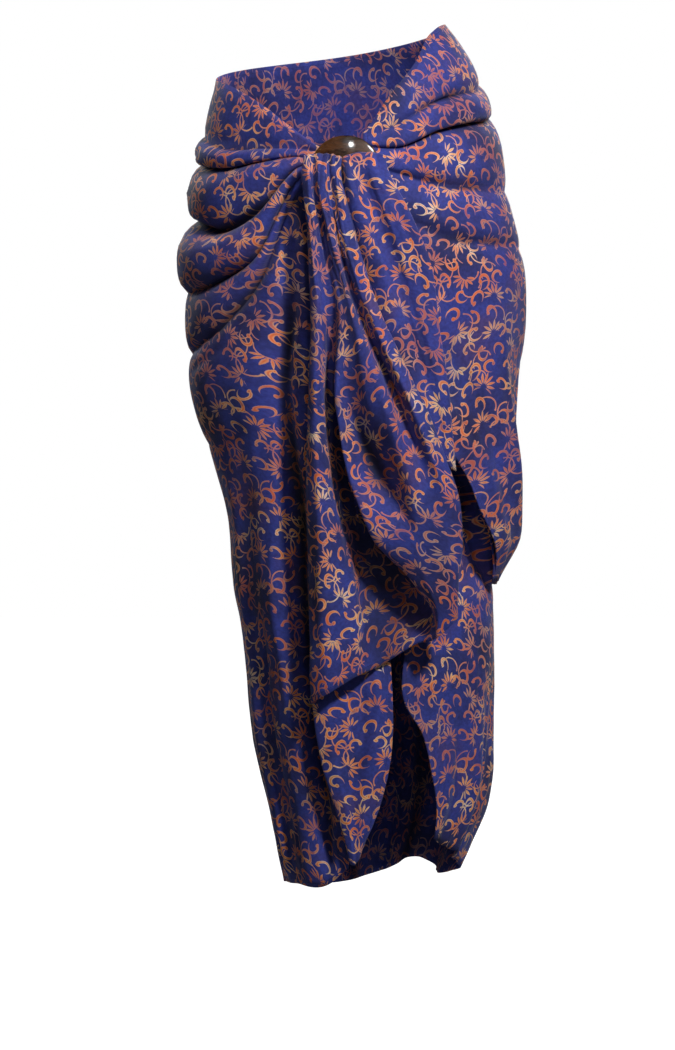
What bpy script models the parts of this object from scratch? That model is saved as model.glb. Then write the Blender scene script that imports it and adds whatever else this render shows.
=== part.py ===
"""Batik sarong, worn wrapped round the hips and drawn through a coconut shell buckle at the front.

The cloth is one rectangle, wound from the left front round the back to the right front. Each
stretch that shows is its own wall: the left front, the back, the right front with its pouch, the
two falls that come out of the buckle, and the corner that hangs below them.
The origin is the middle of the waist opening, +Z is up, and the front faces -Y.
"""

import math
from collections import namedtuple

import bmesh
import bpy
import numpy as np

MM = 0.001

# Cloth and seams, in millimetres
CLOTH = 1.2
SEAM = 0.8
# The tables below are sizes in a front view, seen from this far away and this far below the waist
VIEW_REACH = 3400.0
VIEW_DROP = -360.0

# The figure under the cloth: height, then how far it reaches left, right, to the front and the back
Section = namedtuple("Section", "height left right front back")
SECTIONS = [
    Section(45, -128, 110, 86, 92),
    Section(20, -131, 127, 90, 98),
    Section(-25, -132, 154, 98, 108),
    Section(-60, -141, 168, 105, 117),
    Section(-95, -147, 175, 110, 126),
    Section(-150, -152, 183, 114, 137),
    Section(-220, -158, 199, 114, 143),
    Section(-290, -158, 201, 112, 140),
    Section(-360, -155, 197, 110, 133),
    Section(-430, -138, 190, 108, 127),
    Section(-500, -122, 184, 106, 121),
    Section(-580, -113, 175, 104, 116),
    Section(-660, -100, 173, 103, 112),
    Section(-750, -90, 168, 101, 110),
    Section(-820, -75, 160, 97, 108),
    Section(-865, -66, 141, 94, 106),
    Section(-905, -57, 121, 92, 104),
]
# Round the body in degrees from the front middle, by the left side (90), the back (180) and the
# right side (270): the cloth's top edge and its hem
TOP_EDGE = [(0, -103), (13, -96), (19, -85), (28, -69), (36, -56), (50, -40), (68, -29), (88, -25),
            (120, -16), (180, 0), (235, 22), (272, 35), (298, 29), (308, 21), (324, -5), (343, -43),
            (357, -88), (366, -100)]
HEM = [(-10, -886), (14, -892), (24, -906), (60, -908), (90, -905), (180, -909), (230, -905), (270, -893),
       (300, -880), (320, -861), (345, -850)]
# Height against degrees: the inner edges of the left front, of the right front's outer layer, and
# of the right front's under layer
LEFT_EDGE = [(-905, 14), (-830, 11.5), (-700, 6), (-500, 3), (-300, 3), (-100, 5)]
POUCH_EDGE = [(-600, 297), (-565, 299), (-538, 304), (-497, 313), (-465, 318), (-443, 323),
              (-410, 332), (-370, 341), (-300, 349), (-200, 353), (-90, 355)]
UNDER_EDGE = [(-905, 317), (-862, 319.5), (-836, 323), (-789, 329.5), (-760, 332), (-741, 335),
              (-715, 343), (-646, 343.5), (-560, 335), (-470, 318)]
# The pouch on the right hip: where it starts, its floor, the top of the tuck inside it, and how far
# its outer layer stands off the under layer
POUCH_START = 235
POUCH_FULL = 285
POUCH_FLOOR = [(235, -500), (262, -560), (280, -582), (299, -571), (330, -560)]
TUCK_TOP = [(235, -530), (250, -558), (262, -574), (272, -548), (285, -502), (299, -438), (340, -430)]
POUCH_BULGE = 24
UNDER_GAP = 8.0
# The seat's height, and the rows over the turn below it
SEAT = (-500, -530)
TURN_ROWS = 4

# The wrap's rows down to the seat: crests and creases by turns, with the height of each and how far
# it rises at these degrees round. They fan out from the buckle on both sides
WRAP_AT = (8, 20, 37, 55, 80, 118, 180, 235, 260, 280, 305, 323, 340, 355)
Row = namedtuple("Row", "name heights rises")
WRAP_ROWS = [
    Row("top edge", None, (0, 0, 0, 0, 0, 0, 0, 0, 0, 0, 0, 0, 0, 0)),
    Row("waist crease", (-105, -100, -99, -101, -92, -78, -50, -18, -2, -6, -10, -25, -48, -84),
        (-1, -3, -6, -5, 0, 0, 0, 1, 2, 2, 4, 4, 2, 0)),
    Row("first roll", (-108, -104, -106, -109, -104, -92, -68, -40, -27, -36, -41, -51, -73, -88),
        (0, 1, 4, 7, 8, 5, 0, -2, -3, -3, -7, -7, -4, 0)),
    Row("short crease", (-111, -108, -113, -120, -119, -108, -86, -58, -46, -51, -57, -66, -87, -92),
        (-1, -2, -3, -4, 0, 0, 0, 2, 3, 3, 7, 7, 4, 1)),
    Row("second roll", (-114, -112, -127, -145, -149, -138, -112, -78, -64, -70, -72, -80, -97, -97),
        (1, 5, 12, 14, 13, 9, 4, -1, -3, -4, -8, -7, -5, -1)),
    Row("deep crease", (-118, -118, -165, -188, -180, -174, -148, -116, -102, -104, -101, -107, -112,
                        -104), (-2, -6, -10, -8, 0, 0, -2, 2, 4, 4, 8, 7, 5, 2)),
    Row("hip roll", (-122, -125, -190, -214, -219, -212, -184, -158, -148, -146, -142, -140, -128,
                     -114), (2, 8, 18, 20, 18, 12, 6, 0, 0, 1, -4, -4, -1, 0)),
    Row("under the roll", (-128, -132, -212, -241, -256, -250, -224, -196, -182, -178, -174, -167,
                           -147, -128), (-1, -3, -5, -2, 5, 2, -2, 3, 4, 5, 6, 4, 2, 0)),
    Row("low roll", (-134, -139, -227, -267, -290, -290, -262, -232, -216, -205, -202, -197, -176,
                     -149), (0, 3, 9, 13, 13, 9, 4, 0, 1, 2, -3, -3, 0, 0)),
    Row("low crease", (-142, -147, -240, -290, -318, -326, -306, -276, -254, -239, -237, -232, -212,
                       -178), (-1, -4, -7, -6, 0, 0, -2, 1, 4, 5, 6, 4, 2, 0)),
    Row("last roll", (-175, -204, -306, -340, -350, -360, -358, -345, -342, -340, -342, -330, -300,
                      -255), (0, 2, 7, 9, 8, 4, 0, 0, 0, 0, 0, 0, 0, 0)),
    Row("thigh", (-300, -330, -400, -422, -426, -432, -432, -425, -455, -465, -460, -440, -400, -345),
        (0, 0, 0, 0, 0, 0, 0, 0, 0, 0, 0, 0, 0, 0)),
]
ROW_CELLS = 2

# Long folds that run down the wrap: side, a path of (distance round from the front middle, height),
# the rise at the path's start, middle and end, and the half width there
WRAP_REACH = 170.0
Fold = namedtuple("Fold", "side path rise width")
FOLDS = [
    Fold("left", [(120, -330), (128, -440), (132, -600), (128, -880)], (2, 10, 6), (34, 52, 46)),
    Fold("left", [(64, -160), (72, -240), (78, -330), (88, -440), (92, -600), (84, -880)],
         (-8, -20, -9), (13, 24, 22)),
    Fold("left", [(205, -480), (214, -620), (206, -880)], (2, 6, 8), (24, 28, 28)),
]
# Slack folds of the pouch's outer layer, which fan from the buckle: share of the way from the back
# seam to the inner edge, rise, half width as a share
SLACK = [(0.42, -3, 0.12), (0.60, 5, 0.13), (0.76, -5, 0.12), (0.90, 4, 0.12)]
SLACK_TOP = (-170, -420)
# Hanging folds below the seat, down to the hem: degrees round, rise, half width in degrees, and the
# height they start from
HANG = [
    (112, 9, 10, -430), (131, -9, 9, -400), (150, 13, 10, -350), (169, -10, 9, -340),
    (187, 14, 10, -330), (206, -10, 9, -350), (224, 12, 10, -380), (243, -8, 9, -540),
    (261, 8, 9, -600), (279, -6, 8, -610), (296, 6, 8, -610), (312, -5, 7, -620),
]

# The falls: one row for each fold line, left to right, with x and the depth in front of the waist's
# middle at each level, then the height of its hem
Line = namedtuple("Line", "name x depth hem")
LEFT_LEVELS = [-118, -187, -275, -374, -484]
LEFT_FALL = [
    Line("turned edge", (-32, -28, -24, -26, -26, -21), (128, 127, 124, 120, 118, 120), -709),
    Line("left fold", (-38, -34, -30, -32, -34, -29), (137, 138, 137, 132, 128, 124), -708),
    Line("strip crest", (-33, -27, -23, -24, -20, -9), (146, 149, 149, 146, 143, 136), -697),
    Line("deep valley", (-28, -20, -13, -12, 8, 46), (141, 139, 142, 122, 112, 113), -664),
    Line("roll crest", (-23, -14, 1, 15, 33, 74), (146, 149, 154, 154, 140, 130), -649),
    Line("pocket", (-18, -9, 9, 32, 57, 91), (148, 151, 158, 158, 131, 130), -643),
    Line("fall crest", (-13, -5, 16, 50, 83, 107), (147, 149, 158, 168, 162, 146), -638),
    Line("second valley", (-9, 0, 23, 66, 103, 118), (142, 142, 150, 161, 164, 147), -631),
    Line("outer crest", (-3, 7, 34, 79, 120, 126), (147, 151, 160, 168, 163, 145), -622),
    Line("right fold", (4, 18, 46, 93, 134, 132), (143, 145, 151, 155, 152, 138), -612),
    Line("turned back", (-1, 13, 39, 85, 125, 124), (138, 137, 140, 143, 142, 132), -612),
]
RIGHT_LEVELS = [-116, -160, -220, -297, -374]
RIGHT_FALL = [
    Line("under the fall", (10, 14, 23, 41, 65, 99), (136, 132, 130, 130, 130, 129), -440),
    Line("inner crest", (18, 28, 45, 66, 90, 112), (146, 146, 143, 138, 135, 131), -444),
    Line("valley", (29, 44, 62, 84, 106, 120), (141, 139, 135, 131, 130, 128), -447),
    Line("outer crest", (42, 60, 82, 98, 116, 126), (146, 145, 140, 135, 131, 127), -450),
    Line("outer fold", (53, 75, 101, 112, 123, 129), (141, 139, 133, 127, 124, 121), -452),
    Line("turned under", (48, 69, 95, 107, 119, 126), (136, 132, 127, 122, 119, 117), -450),
]
CORNER_LEVELS = [-610, -655, -710, -765, -818]
CORNER_FALL = [
    Line("turned edge", (-23, -22, -20, -12, 4, 18), (106, 106, 106, 105, 102, 98), -884),
    Line("left fold", (-29, -28, -27, -20, -4, 15), (108, 109, 111, 110, 107, 102), -886),
    Line("crest", (-14, -13, -11, -6, 7, 18), (110, 112, 117, 115, 112, 106), -888),
    Line("valley", (9, 9, 14, 15, 17, 20), (105, 107, 109, 109, 107, 103), -886),
    Line("inner crest", (37, 40, 45, 41, 32, 23), (106, 108, 113, 112, 108, 102), -882),
    Line("inner edge", (57, 58, 61, 59, 48, 26), (102, 103, 105, 104, 102, 98), -872),
]

# The buckle: a domed disc of coconut shell with two holes, leaning back at its top
BUCKLE_RADIUS = 38.0
BUCKLE_RISE = 5.0
BUCKLE_WALL = 4.0
BUCKLE_CENTRE = (9.0, -124.0, -124.0)
BUCKLE_LEAN = 5.0
HOLE_RADIUS = 10.0
HOLE_OFFSET = 16.5
HOLE_LOBES = 7
GATHER_RADIUS = 8.6
GATHER_DEPTH = 0.9
GATHER_REACH = {-1: (-12.6, 9.5), 1: (-14.5, 11.9)}
MOUTH_AHEAD = 6.0

# Grid sizes, in cells
ROWS = 36
LEFT_COLS = 22
BACK_COLS = 17
RIGHT_COLS = 17
LEFT_FALL_CELLS = (28, 22)
RIGHT_FALL_CELLS = (12, 13)
CORNER_CELLS = (10, 9)
# Where the left front meets the back, in degrees
BACK_FROM = 118


def smooth(table, at):
    """A smooth curve through a table's (place, value) rows, read at one place or an array of them."""
    rows = sorted(table)
    xs = np.array([row[0] for row in rows], float)
    ys = np.array([row[1] for row in rows], float)
    slope = np.gradient(ys, xs)
    at = np.clip(np.asarray(at, float), xs[0], xs[-1])
    k = np.clip(np.searchsorted(xs, at) - 1, 0, len(xs) - 2)
    h = xs[k + 1] - xs[k]
    t = (at - xs[k]) / h
    rise = (3 - 2 * t) * t * t
    near = slope[k] * h * t * (1 - t) ** 2
    far = slope[k + 1] * h * t * t * (t - 1)
    return ys[k] * (1 - rise) + ys[k + 1] * rise + near + far


def ease(low, high, at):
    """From 0 at low to 1 at high, with no corner."""
    t = np.clip((np.asarray(at, float) - low) / (high - low), 0, 1)
    return t * t * (3 - 2 * t)


def seen(points):
    """Moves points, drawn as a front view shows them, to where they are at their own depth."""
    points = np.array(points, float)
    share = 1 + points[..., 1] / VIEW_REACH
    points[..., 0] *= share
    points[..., 2] = VIEW_DROP + (points[..., 2] - VIEW_DROP) * share
    return points


def figure(angle, height, out):
    """A point on the figure's ring at this angle and height, moved outwards."""
    reach = {
        name: smooth([(s.height, getattr(s, name)) for s in SECTIONS], height)
        for name in ("left", "right", "front", "back")
    }
    turn = np.radians(angle)
    middle = (reach["left"] + reach["right"]) / 2
    half = (reach["right"] - reach["left"]) / 2
    deep = np.where(np.cos(turn) > 0, reach["front"], reach["back"])
    x = -half * np.sin(turn)
    y = -deep * np.cos(turn)
    normal = np.stack([x / half**2, y / deep**2], -1)
    normal /= np.linalg.norm(normal, axis=-1, keepdims=True)
    return np.stack([middle + x + out * normal[..., 0], y + out * normal[..., 1], height], -1)


def fold_rise(fold, across, height):
    """How far one fold lifts the cloth at places given by their distance round and height."""
    path = np.array(fold.path, float)
    run = np.linalg.norm(np.diff(path, axis=0), axis=1)
    start = np.concatenate([[0], np.cumsum(run)]) / run.sum()
    best = np.full(across.shape, 1e9)
    share = np.zeros(across.shape)
    for k, length in enumerate(run):
        step = (path[k + 1] - path[k]) / length
        along = np.clip((across - path[k, 0]) * step[0] + (height - path[k, 1]) * step[1], 0, length)
        gap = np.hypot(across - path[k, 0] - along * step[0], height - path[k, 1] - along * step[1])
        nearer = gap < best
        best = np.where(nearer, gap, best)
        share = np.where(nearer, start[k] + along / run.sum(), share)
    stops = (0, 0.5, 1)
    rise = np.interp(share, stops, fold.rise)
    width = np.interp(share, stops, fold.width)
    return rise * (0.5 + 0.5 * np.cos(np.pi * np.clip(best / width, 0, 1)))


def long_rise(angle, height):
    """The long folds and the hanging folds at these angles and heights."""
    left = WRAP_REACH * np.radians(angle)
    right = WRAP_REACH * np.radians(360 - angle)
    total = np.zeros(angle.shape)
    for fold in FOLDS:
        total += fold_rise(fold, left if fold.side == "left" else right, height)
    for centre, rise, width, top in HANG:
        share = ease(top, top - 260, height)
        total += rise * share * (0.5 + 0.5 * np.cos(np.pi * np.clip((angle - centre) / width, -1, 1)))
    return total


def row_line(line, angle, floor):
    """The height and the rise of one crest or crease at these angles; the last one is the floor."""
    if line == len(WRAP_ROWS):
        return floor, np.zeros(angle.shape)
    row = WRAP_ROWS[line]
    rise = smooth(list(zip(WRAP_AT, row.rises)), angle)
    if row.heights is None:
        return smooth(TOP_EDGE, angle), rise
    return smooth(list(zip(WRAP_AT, row.heights)), angle), rise


def row_at(row, rows, angle, floor=SEAT[0], tuck_top=SEAT[1]):
    """The height and the rise of a row of cells: from the top to the floor, over the turn, down."""
    seat = len(WRAP_ROWS) * ROW_CELLS
    flat = np.zeros(angle.shape)
    if row <= seat:
        line, part = divmod(row, ROW_CELLS)
        height, rise = row_line(line, angle, floor + flat)
        if part:
            part = part / ROW_CELLS
            below, next_rise = row_line(line + 1, angle, floor + flat)
            # Crests are rounded and creases are sharp
            share = np.where(rise > next_rise, 1 - part**1.6, (1 - part) ** 1.6)
            height = height * (1 - part) + below * part
            rise = next_rise + (rise - next_rise) * share
        return height, rise
    if row < seat + TURN_ROWS:
        share = (row - seat) / TURN_ROWS
        return floor + (tuck_top - floor) * share + flat, flat
    share = ((row - seat - TURN_ROWS) / (rows - seat - TURN_ROWS)) ** 2.2
    return tuck_top * (1 - share) + smooth(HEM, angle) * share, flat


def stretch(cols, rows, first, last):
    """A stretch of the wrap with no pouch, between two edges that may follow a table of heights."""
    u = np.linspace(0, 1, cols + 1)
    points = np.zeros((rows + 1, cols + 1, 3))
    for row in range(rows + 1):
        angle = (first if np.isscalar(first) else 8.0) * (1 - u) + last * u
        for _ in range(4):
            height, rise = row_at(row, rows, angle)
            near = first if np.isscalar(first) else smooth(first, height)
            angle = near + (last - near) * u
        points[row] = figure(angle, height, rise + long_rise(angle, height))
    return seen(points)


def right_front(cols, rows):
    """The right front: down the outer layer, in and up under the pouch, then down to the hem."""
    seat = len(WRAP_ROWS) * ROW_CELLS
    seam = POUCH_START + seam_angle()
    points = np.zeros((rows + 1, cols + 1, 3))
    u = np.linspace(0, 1, cols + 1) ** 0.9
    floor_angle = seam + (299 - seam) * u
    floor = smooth(POUCH_FLOOR, floor_angle)
    tucked = ease(POUCH_START, POUCH_FULL, floor_angle)
    tuck_top = smooth(TUCK_TOP, floor_angle)
    for row in range(rows + 1):
        height = floor if row <= seat else tuck_top
        over = np.clip((row - seat) / TURN_ROWS, 0, 1)
        for _ in range(5):
            outer_edge = smooth(POUCH_EDGE, height if row <= seat else floor)
            under_edge = smooth(UNDER_EDGE, height if over == 1 else tuck_top)
            edge = outer_edge * (1 - over) + under_edge * over
            angle = seam + (edge - seam) * u
            height, rise = row_at(row, rows, angle, floor, tuck_top)
        rise = rise + long_rise(angle, height)
        swell = POUCH_BULGE * tucked * ease(-300, -520, height)
        slack = sum(
            lift * (0.5 + 0.5 * np.cos(np.pi * np.clip((u - place) / width, -1, 1)))
            for place, lift, width in SLACK
        ) * ease(*SLACK_TOP, height)
        if over == 0:
            near_floor = ease(0.86, 1.0, row / seat)
            out = rise + slack * (1 - 0.6 * near_floor) + swell * (1 - 0.3 * near_floor)
        elif over < 1:
            inward = over**0.6
            outer = rise + slack * 0.4 + POUCH_BULGE * 0.7 * tucked
            out = outer * (1 - inward) + (rise - UNDER_GAP * 0.15 * tucked) * inward
            height = height - 7 * tucked * math.sin(math.pi * min(over * 2, 1))
        else:
            under = tucked * ease(-680, -570, height)
            out = rise * (1 - under) - UNDER_GAP * under * (0.15 + 0.85 * ease(0, 4, tuck_top - height))
        points[row] = figure(angle, height, out)
    return seen(points)


def seam_angle():
    """The gap between two stretches of the wrap, in degrees."""
    return math.degrees(SEAM / WRAP_REACH)


def curve_through(points, count, bias=1.0):
    """Points on a smooth curve through rows of points, evenly spaced or closer at the start."""
    points = np.asarray(points, float)
    gaps = np.linalg.norm(np.diff(points, axis=0), axis=-1)
    while gaps.ndim > 1:
        gaps = gaps.mean(axis=-1)
    place = np.concatenate([[0], np.cumsum(gaps)])
    at = place[-1] * np.linspace(0, 1, count) ** bias
    slope = np.gradient(points, place, axis=0)
    k = np.clip(np.searchsorted(place, at) - 1, 0, len(place) - 2)
    shape = (-1,) + (1,) * (points.ndim - 1)
    h = (place[k + 1] - place[k]).reshape(shape)
    t = (at - place[k]).reshape(shape) / h
    rise = (3 - 2 * t) * t * t
    near = slope[k] * h * t * (1 - t) ** 2
    far = slope[k + 1] * h * t * t * (t - 1)
    return points[k] * (1 - rise) + points[k + 1] * rise + near + far


def fall(lines, levels, mouth, cols, rows):
    """A fall of cloth through its fold lines; at the buckle its top leans back towards the hole."""
    net = []
    for line in lines:
        heights = list(levels) + [line.hem]
        column = [(x, -depth, z) for x, depth, z in zip(line.x, line.depth, heights)]
        if mouth is not None:
            first = column[0]
            back = min(first[1] + 4, mouth[1])
            column.insert(0, (first[0] * 0.88 + mouth[0] * 0.12, back, first[2] + 13))
        net.append(column)
    net = np.array(net)
    down = curve_through(net.transpose(1, 0, 2), rows + 1, 1.0 if mouth is None else 1.5)
    across = curve_through(down.transpose(1, 0, 2), cols + 1)
    return seen(across.transpose(1, 0, 2))


def cloth(name, points, colour):
    """A wall of cloth whose middle surface is a grid of points, given in rows from the top."""
    rows, cols = points.shape[0] - 1, points.shape[1] - 1
    mesh = bpy.data.meshes.new(name)
    shape = bmesh.new()
    bmesh.ops.create_grid(shape, x_segments=cols, y_segments=rows, size=1)
    shape.verts.ensure_lookup_table()
    for vert in shape.verts:
        col = round((vert.co.x + 1) / 2 * cols)
        row = round((1 - vert.co.y) / 2 * rows)
        vert.co = points[row, col] * MM
    bmesh.ops.triangulate(shape, faces=shape.faces)
    shape.to_mesh(mesh)
    shape.free()
    mesh.materials.append(colour)
    obj = bpy.data.objects.new(name, mesh)
    thick = obj.modifiers.new("wall", "SOLIDIFY")
    thick.thickness = CLOTH * MM
    thick.offset = 0
    PARTS.objects.link(obj)
    return obj


def finish(name, colour, roughness, metallic=0.0):
    """A plain material of this colour."""
    made = bpy.data.materials.new(name)
    made.use_nodes = True
    shader = made.node_tree.nodes["Principled BSDF"]
    shader.inputs["Base Color"].default_value = (*colour, 1)
    shader.inputs["Roughness"].default_value = roughness
    shader.inputs["Metallic"].default_value = metallic
    return made


def buckle(shell):
    """The domed disc with its two holes, leaning back."""
    bpy.ops.mesh.primitive_cylinder_add(vertices=48, radius=BUCKLE_RADIUS * MM, depth=BUCKLE_WALL * MM)
    disc = bpy.context.object
    disc.name = "coconut_buckle"
    disc.data.name = "coconut_buckle"
    edit = bmesh.new()
    edit.from_mesh(disc.data)
    for side in (1, -1):
        for radius_share in (0.75, 0.45):
            face = next(f for f in edit.faces if f.normal.z * side > 0.9 and len(f.verts) > 4)
            middle = face.calc_center_median()
            ring = bmesh.ops.inset_region(edit, faces=[face], thickness=0.001 * MM)
            del ring
            edit.faces.ensure_lookup_table()
            face = next(f for f in edit.faces if f.normal.z * side > 0.9 and len(f.verts) > 4)
            for vert in face.verts:
                flat = (vert.co - middle).normalized() * BUCKLE_RADIUS * radius_share * MM
                vert.co.x, vert.co.y = flat.x, flat.y
        face = next(f for f in edit.faces if f.normal.z * side > 0.9 and len(f.verts) > 4)
        bmesh.ops.poke(edit, faces=[face])
    for vert in edit.verts:
        share = math.hypot(vert.co.x, vert.co.y) / (BUCKLE_RADIUS * MM)
        vert.co.z += BUCKLE_RISE * MM * (1 - share**2)
        if share > 0.99:
            vert.co.z *= 0.7
    edit.to_mesh(disc.data)
    edit.free()
    disc.data.materials.append(shell)
    move_to(disc, PARTS)
    disc.rotation_euler = (math.radians(90 - BUCKLE_LEAN), 0, 0)
    disc.location = [value * MM for value in seen(BUCKLE_CENTRE)]
    for side in (-1, 1):
        bpy.ops.mesh.primitive_cylinder_add(vertices=24, radius=HOLE_RADIUS * MM, depth=40 * MM)
        cutter = bpy.context.object
        cutter.name = f"hole_cutter_{'left' if side < 0 else 'right'}"
        move_to(cutter, CUTTERS)
        cutter.hide_render = True
        cutter.display_type = "WIRE"
        centre = seen(hole_centre(side))
        cutter.location = [value * MM for value in centre]
        cutter.rotation_euler = disc.rotation_euler
        cut = disc.modifiers.new(cutter.name, "BOOLEAN")
        cut.operation = "DIFFERENCE"
        cut.object = cutter
    return disc


def hole_centre(side):
    """The middle of one of the buckle's holes, on the shell's mid surface, in the front view."""
    return np.array(BUCKLE_CENTRE) + [side * HOLE_OFFSET, -BUCKLE_RISE * 0.8, 0]


def gather(name, side, colour):
    """The cloth drawn through one hole: a pleated bundle from the wrap behind to the fall in front."""
    sides = HOLE_LOBES * 4
    centre = seen(hole_centre(side))
    lean = math.radians(BUCKLE_LEAN)
    out = np.array([0, -math.cos(lean), math.sin(lean)])
    up = np.array([0, math.sin(lean), math.cos(lean)])
    start, end = GATHER_REACH[side]
    places = [(start, 0.86), (-4, 0.94), (0, 0.96), (4, 1.0), (end, 0.9)]
    mesh = bpy.data.meshes.new(name)
    shape = bmesh.new()
    rings = []
    for place, size in places:
        ring = []
        for k in range(sides):
            turn = 2 * math.pi * k / sides
            radius = GATHER_RADIUS * size * (1 + GATHER_DEPTH / GATHER_RADIUS * math.cos(HOLE_LOBES * turn))
            point = centre + out * place + radius * (np.array([1, 0, 0]) * math.cos(turn) + up * math.sin(turn))
            ring.append(shape.verts.new(point * MM))
        rings.append(ring)
    for near, far in zip(rings, rings[1:]):
        for k in range(sides):
            after = (k + 1) % sides
            shape.faces.new((near[k], near[after], far[after], far[k]))
    shape.faces.new(rings[0][::-1])
    shape.faces.new(rings[-1])
    bmesh.ops.recalc_face_normals(shape, faces=shape.faces)
    shape.to_mesh(mesh)
    shape.free()
    mesh.materials.append(colour)
    obj = bpy.data.objects.new(name, mesh)
    PARTS.objects.link(obj)
    return obj


def move_to(obj, collection):
    """Puts an object in one collection only."""
    for owner in obj.users_collection:
        owner.objects.unlink(obj)
    collection.objects.link(obj)


def new_collection(name):
    """A collection in the scene."""
    made = bpy.data.collections.new(name)
    bpy.context.scene.collection.children.link(made)
    return made


for old in list(bpy.data.objects):
    bpy.data.objects.remove(old)
PARTS = new_collection("sarong")
CUTTERS = new_collection("cutters")

batik = finish("batik_cotton", (0.035, 0.04, 0.22), 0.85)
shell = finish("coconut_shell", (0.09, 0.05, 0.025), 0.28)
ahead = np.array([0, -MOUTH_AHEAD, 0])

cloth("wrap_left_front", stretch(LEFT_COLS, ROWS, LEFT_EDGE, BACK_FROM - seam_angle()), batik)
cloth("wrap_back", stretch(BACK_COLS, ROWS, BACK_FROM, POUCH_START), batik)
cloth("wrap_right_front", right_front(RIGHT_COLS, ROWS), batik)
cloth("left_fall", fall(LEFT_FALL, LEFT_LEVELS, hole_centre(-1) + ahead, *LEFT_FALL_CELLS), batik)
cloth("right_fall", fall(RIGHT_FALL, RIGHT_LEVELS, hole_centre(1) + ahead, *RIGHT_FALL_CELLS), batik)
cloth("corner_fall", fall(CORNER_FALL, CORNER_LEVELS, None, *CORNER_CELLS), batik)
buckle(shell)
gather("gather_left", -1, batik)
gather("gather_right", 1, batik)
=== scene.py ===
import math

import bmesh
import bpy
import numpy as np
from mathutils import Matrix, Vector, noise


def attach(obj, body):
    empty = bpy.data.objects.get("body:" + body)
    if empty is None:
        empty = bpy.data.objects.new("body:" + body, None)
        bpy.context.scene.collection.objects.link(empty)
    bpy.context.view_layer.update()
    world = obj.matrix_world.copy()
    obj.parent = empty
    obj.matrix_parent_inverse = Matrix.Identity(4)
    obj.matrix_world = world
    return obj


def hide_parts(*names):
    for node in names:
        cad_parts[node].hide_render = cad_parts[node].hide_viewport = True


mm = 0.001
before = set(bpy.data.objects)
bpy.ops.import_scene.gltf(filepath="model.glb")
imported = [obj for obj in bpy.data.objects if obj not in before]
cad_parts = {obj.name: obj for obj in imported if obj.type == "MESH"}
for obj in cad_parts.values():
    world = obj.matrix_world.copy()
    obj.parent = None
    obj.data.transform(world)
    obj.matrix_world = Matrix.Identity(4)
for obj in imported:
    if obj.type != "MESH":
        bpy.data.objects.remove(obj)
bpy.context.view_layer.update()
bpy.ops.object.select_all(action="DESELECT")
print("frame loaded:", len(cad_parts), "nodes")

# Tables are in mm, as a front view shows them; seen() moves them to their own depth
frontView = {"reach": 3400.0, "drop": -360.0}

# The hollow form that the cloth lies round: height, then its reach left, right, front and back
hollowForm = {
    "meanRadius": 170.0,
    "sections": [
        (45, -128, 110, 86, 92), (20, -131, 127, 90, 98), (-25, -132, 154, 98, 108),
        (-60, -141, 168, 105, 117), (-95, -147, 175, 110, 126), (-150, -152, 183, 114, 137),
        (-220, -158, 199, 114, 143), (-290, -158, 201, 112, 140), (-360, -155, 197, 110, 133),
        (-430, -138, 190, 108, 127), (-500, -122, 184, 106, 121), (-580, -113, 175, 104, 116),
        (-660, -100, 173, 103, 112), (-750, -90, 168, 101, 110), (-820, -75, 160, 97, 108),
        (-865, -66, 141, 94, 106), (-905, -57, 121, 92, 104),
    ],
}


def smoothCurve(table, at):
    rows = sorted(table)
    xs = np.array([row[0] for row in rows], float)
    ys = np.array([row[1] for row in rows], float)
    slope = np.gradient(ys, xs)
    at = np.clip(np.asarray(at, float), xs[0], xs[-1])
    k = np.clip(np.searchsorted(xs, at) - 1, 0, len(xs) - 2)
    h = xs[k + 1] - xs[k]
    t = (at - xs[k]) / h
    rise = (3 - 2 * t) * t * t
    ends = slope[k] * h * t * (1 - t) ** 2 + slope[k + 1] * h * t * t * (t - 1)
    return ys[k] * (1 - rise) + ys[k + 1] * rise + ends


def ease(low, high, at):
    t = np.clip((np.asarray(at, float) - low) / (high - low), 0, 1)
    return t * t * (3 - 2 * t)


def bump(offset, width):
    return 0.5 + 0.5 * np.cos(np.pi * np.clip(offset / width, -1, 1))


def seen(points):
    points = np.array(points, float)
    share = 1 + points[..., 1] / frontView["reach"]
    points[..., 0] *= share
    points[..., 2] = frontView["drop"] + (points[..., 2] - frontView["drop"]) * share
    return points


def formPoint(angle, height, out):
    sections = hollowForm["sections"]
    left, right, front, back = (
        smoothCurve([(row[0], row[k]) for row in sections], height) for k in (1, 2, 3, 4)
    )
    turn = np.radians(angle)
    half = (right - left) / 2
    deep = np.where(np.cos(turn) > 0, front, back)
    x, y = -half * np.sin(turn), -deep * np.cos(turn)
    normal = np.stack([x / half**2, y / deep**2], -1)
    normal /= np.linalg.norm(normal, axis=-1, keepdims=True)
    return np.stack(
        [(left + right) / 2 + x + out * normal[..., 0], y + out * normal[..., 1], height], -1
    )


# How far a crease along a path of (distance round, height) lifts the cloth there
def strokeRise(path, rises, widths, across, height):
    path = np.array(path, float)
    run = np.linalg.norm(np.diff(path, axis=0), axis=1)
    start = np.concatenate([[0], np.cumsum(run)]) / run.sum()
    best, share = np.full(across.shape, 1e9), np.zeros(across.shape)
    for k, length in enumerate(run):
        step = (path[k + 1] - path[k]) / length
        along = np.clip((across - path[k, 0]) * step[0] + (height - path[k, 1]) * step[1], 0, length)
        gap = np.hypot(across - path[k, 0] - along * step[0], height - path[k, 1] - along * step[1])
        nearer = gap < best
        best = np.where(nearer, gap, best)
        share = np.where(nearer, start[k] + along / run.sum(), share)
    stops = np.linspace(0, 1, len(rises))
    return np.interp(share, stops, rises) * bump(best, np.interp(share, stops, widths))


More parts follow.
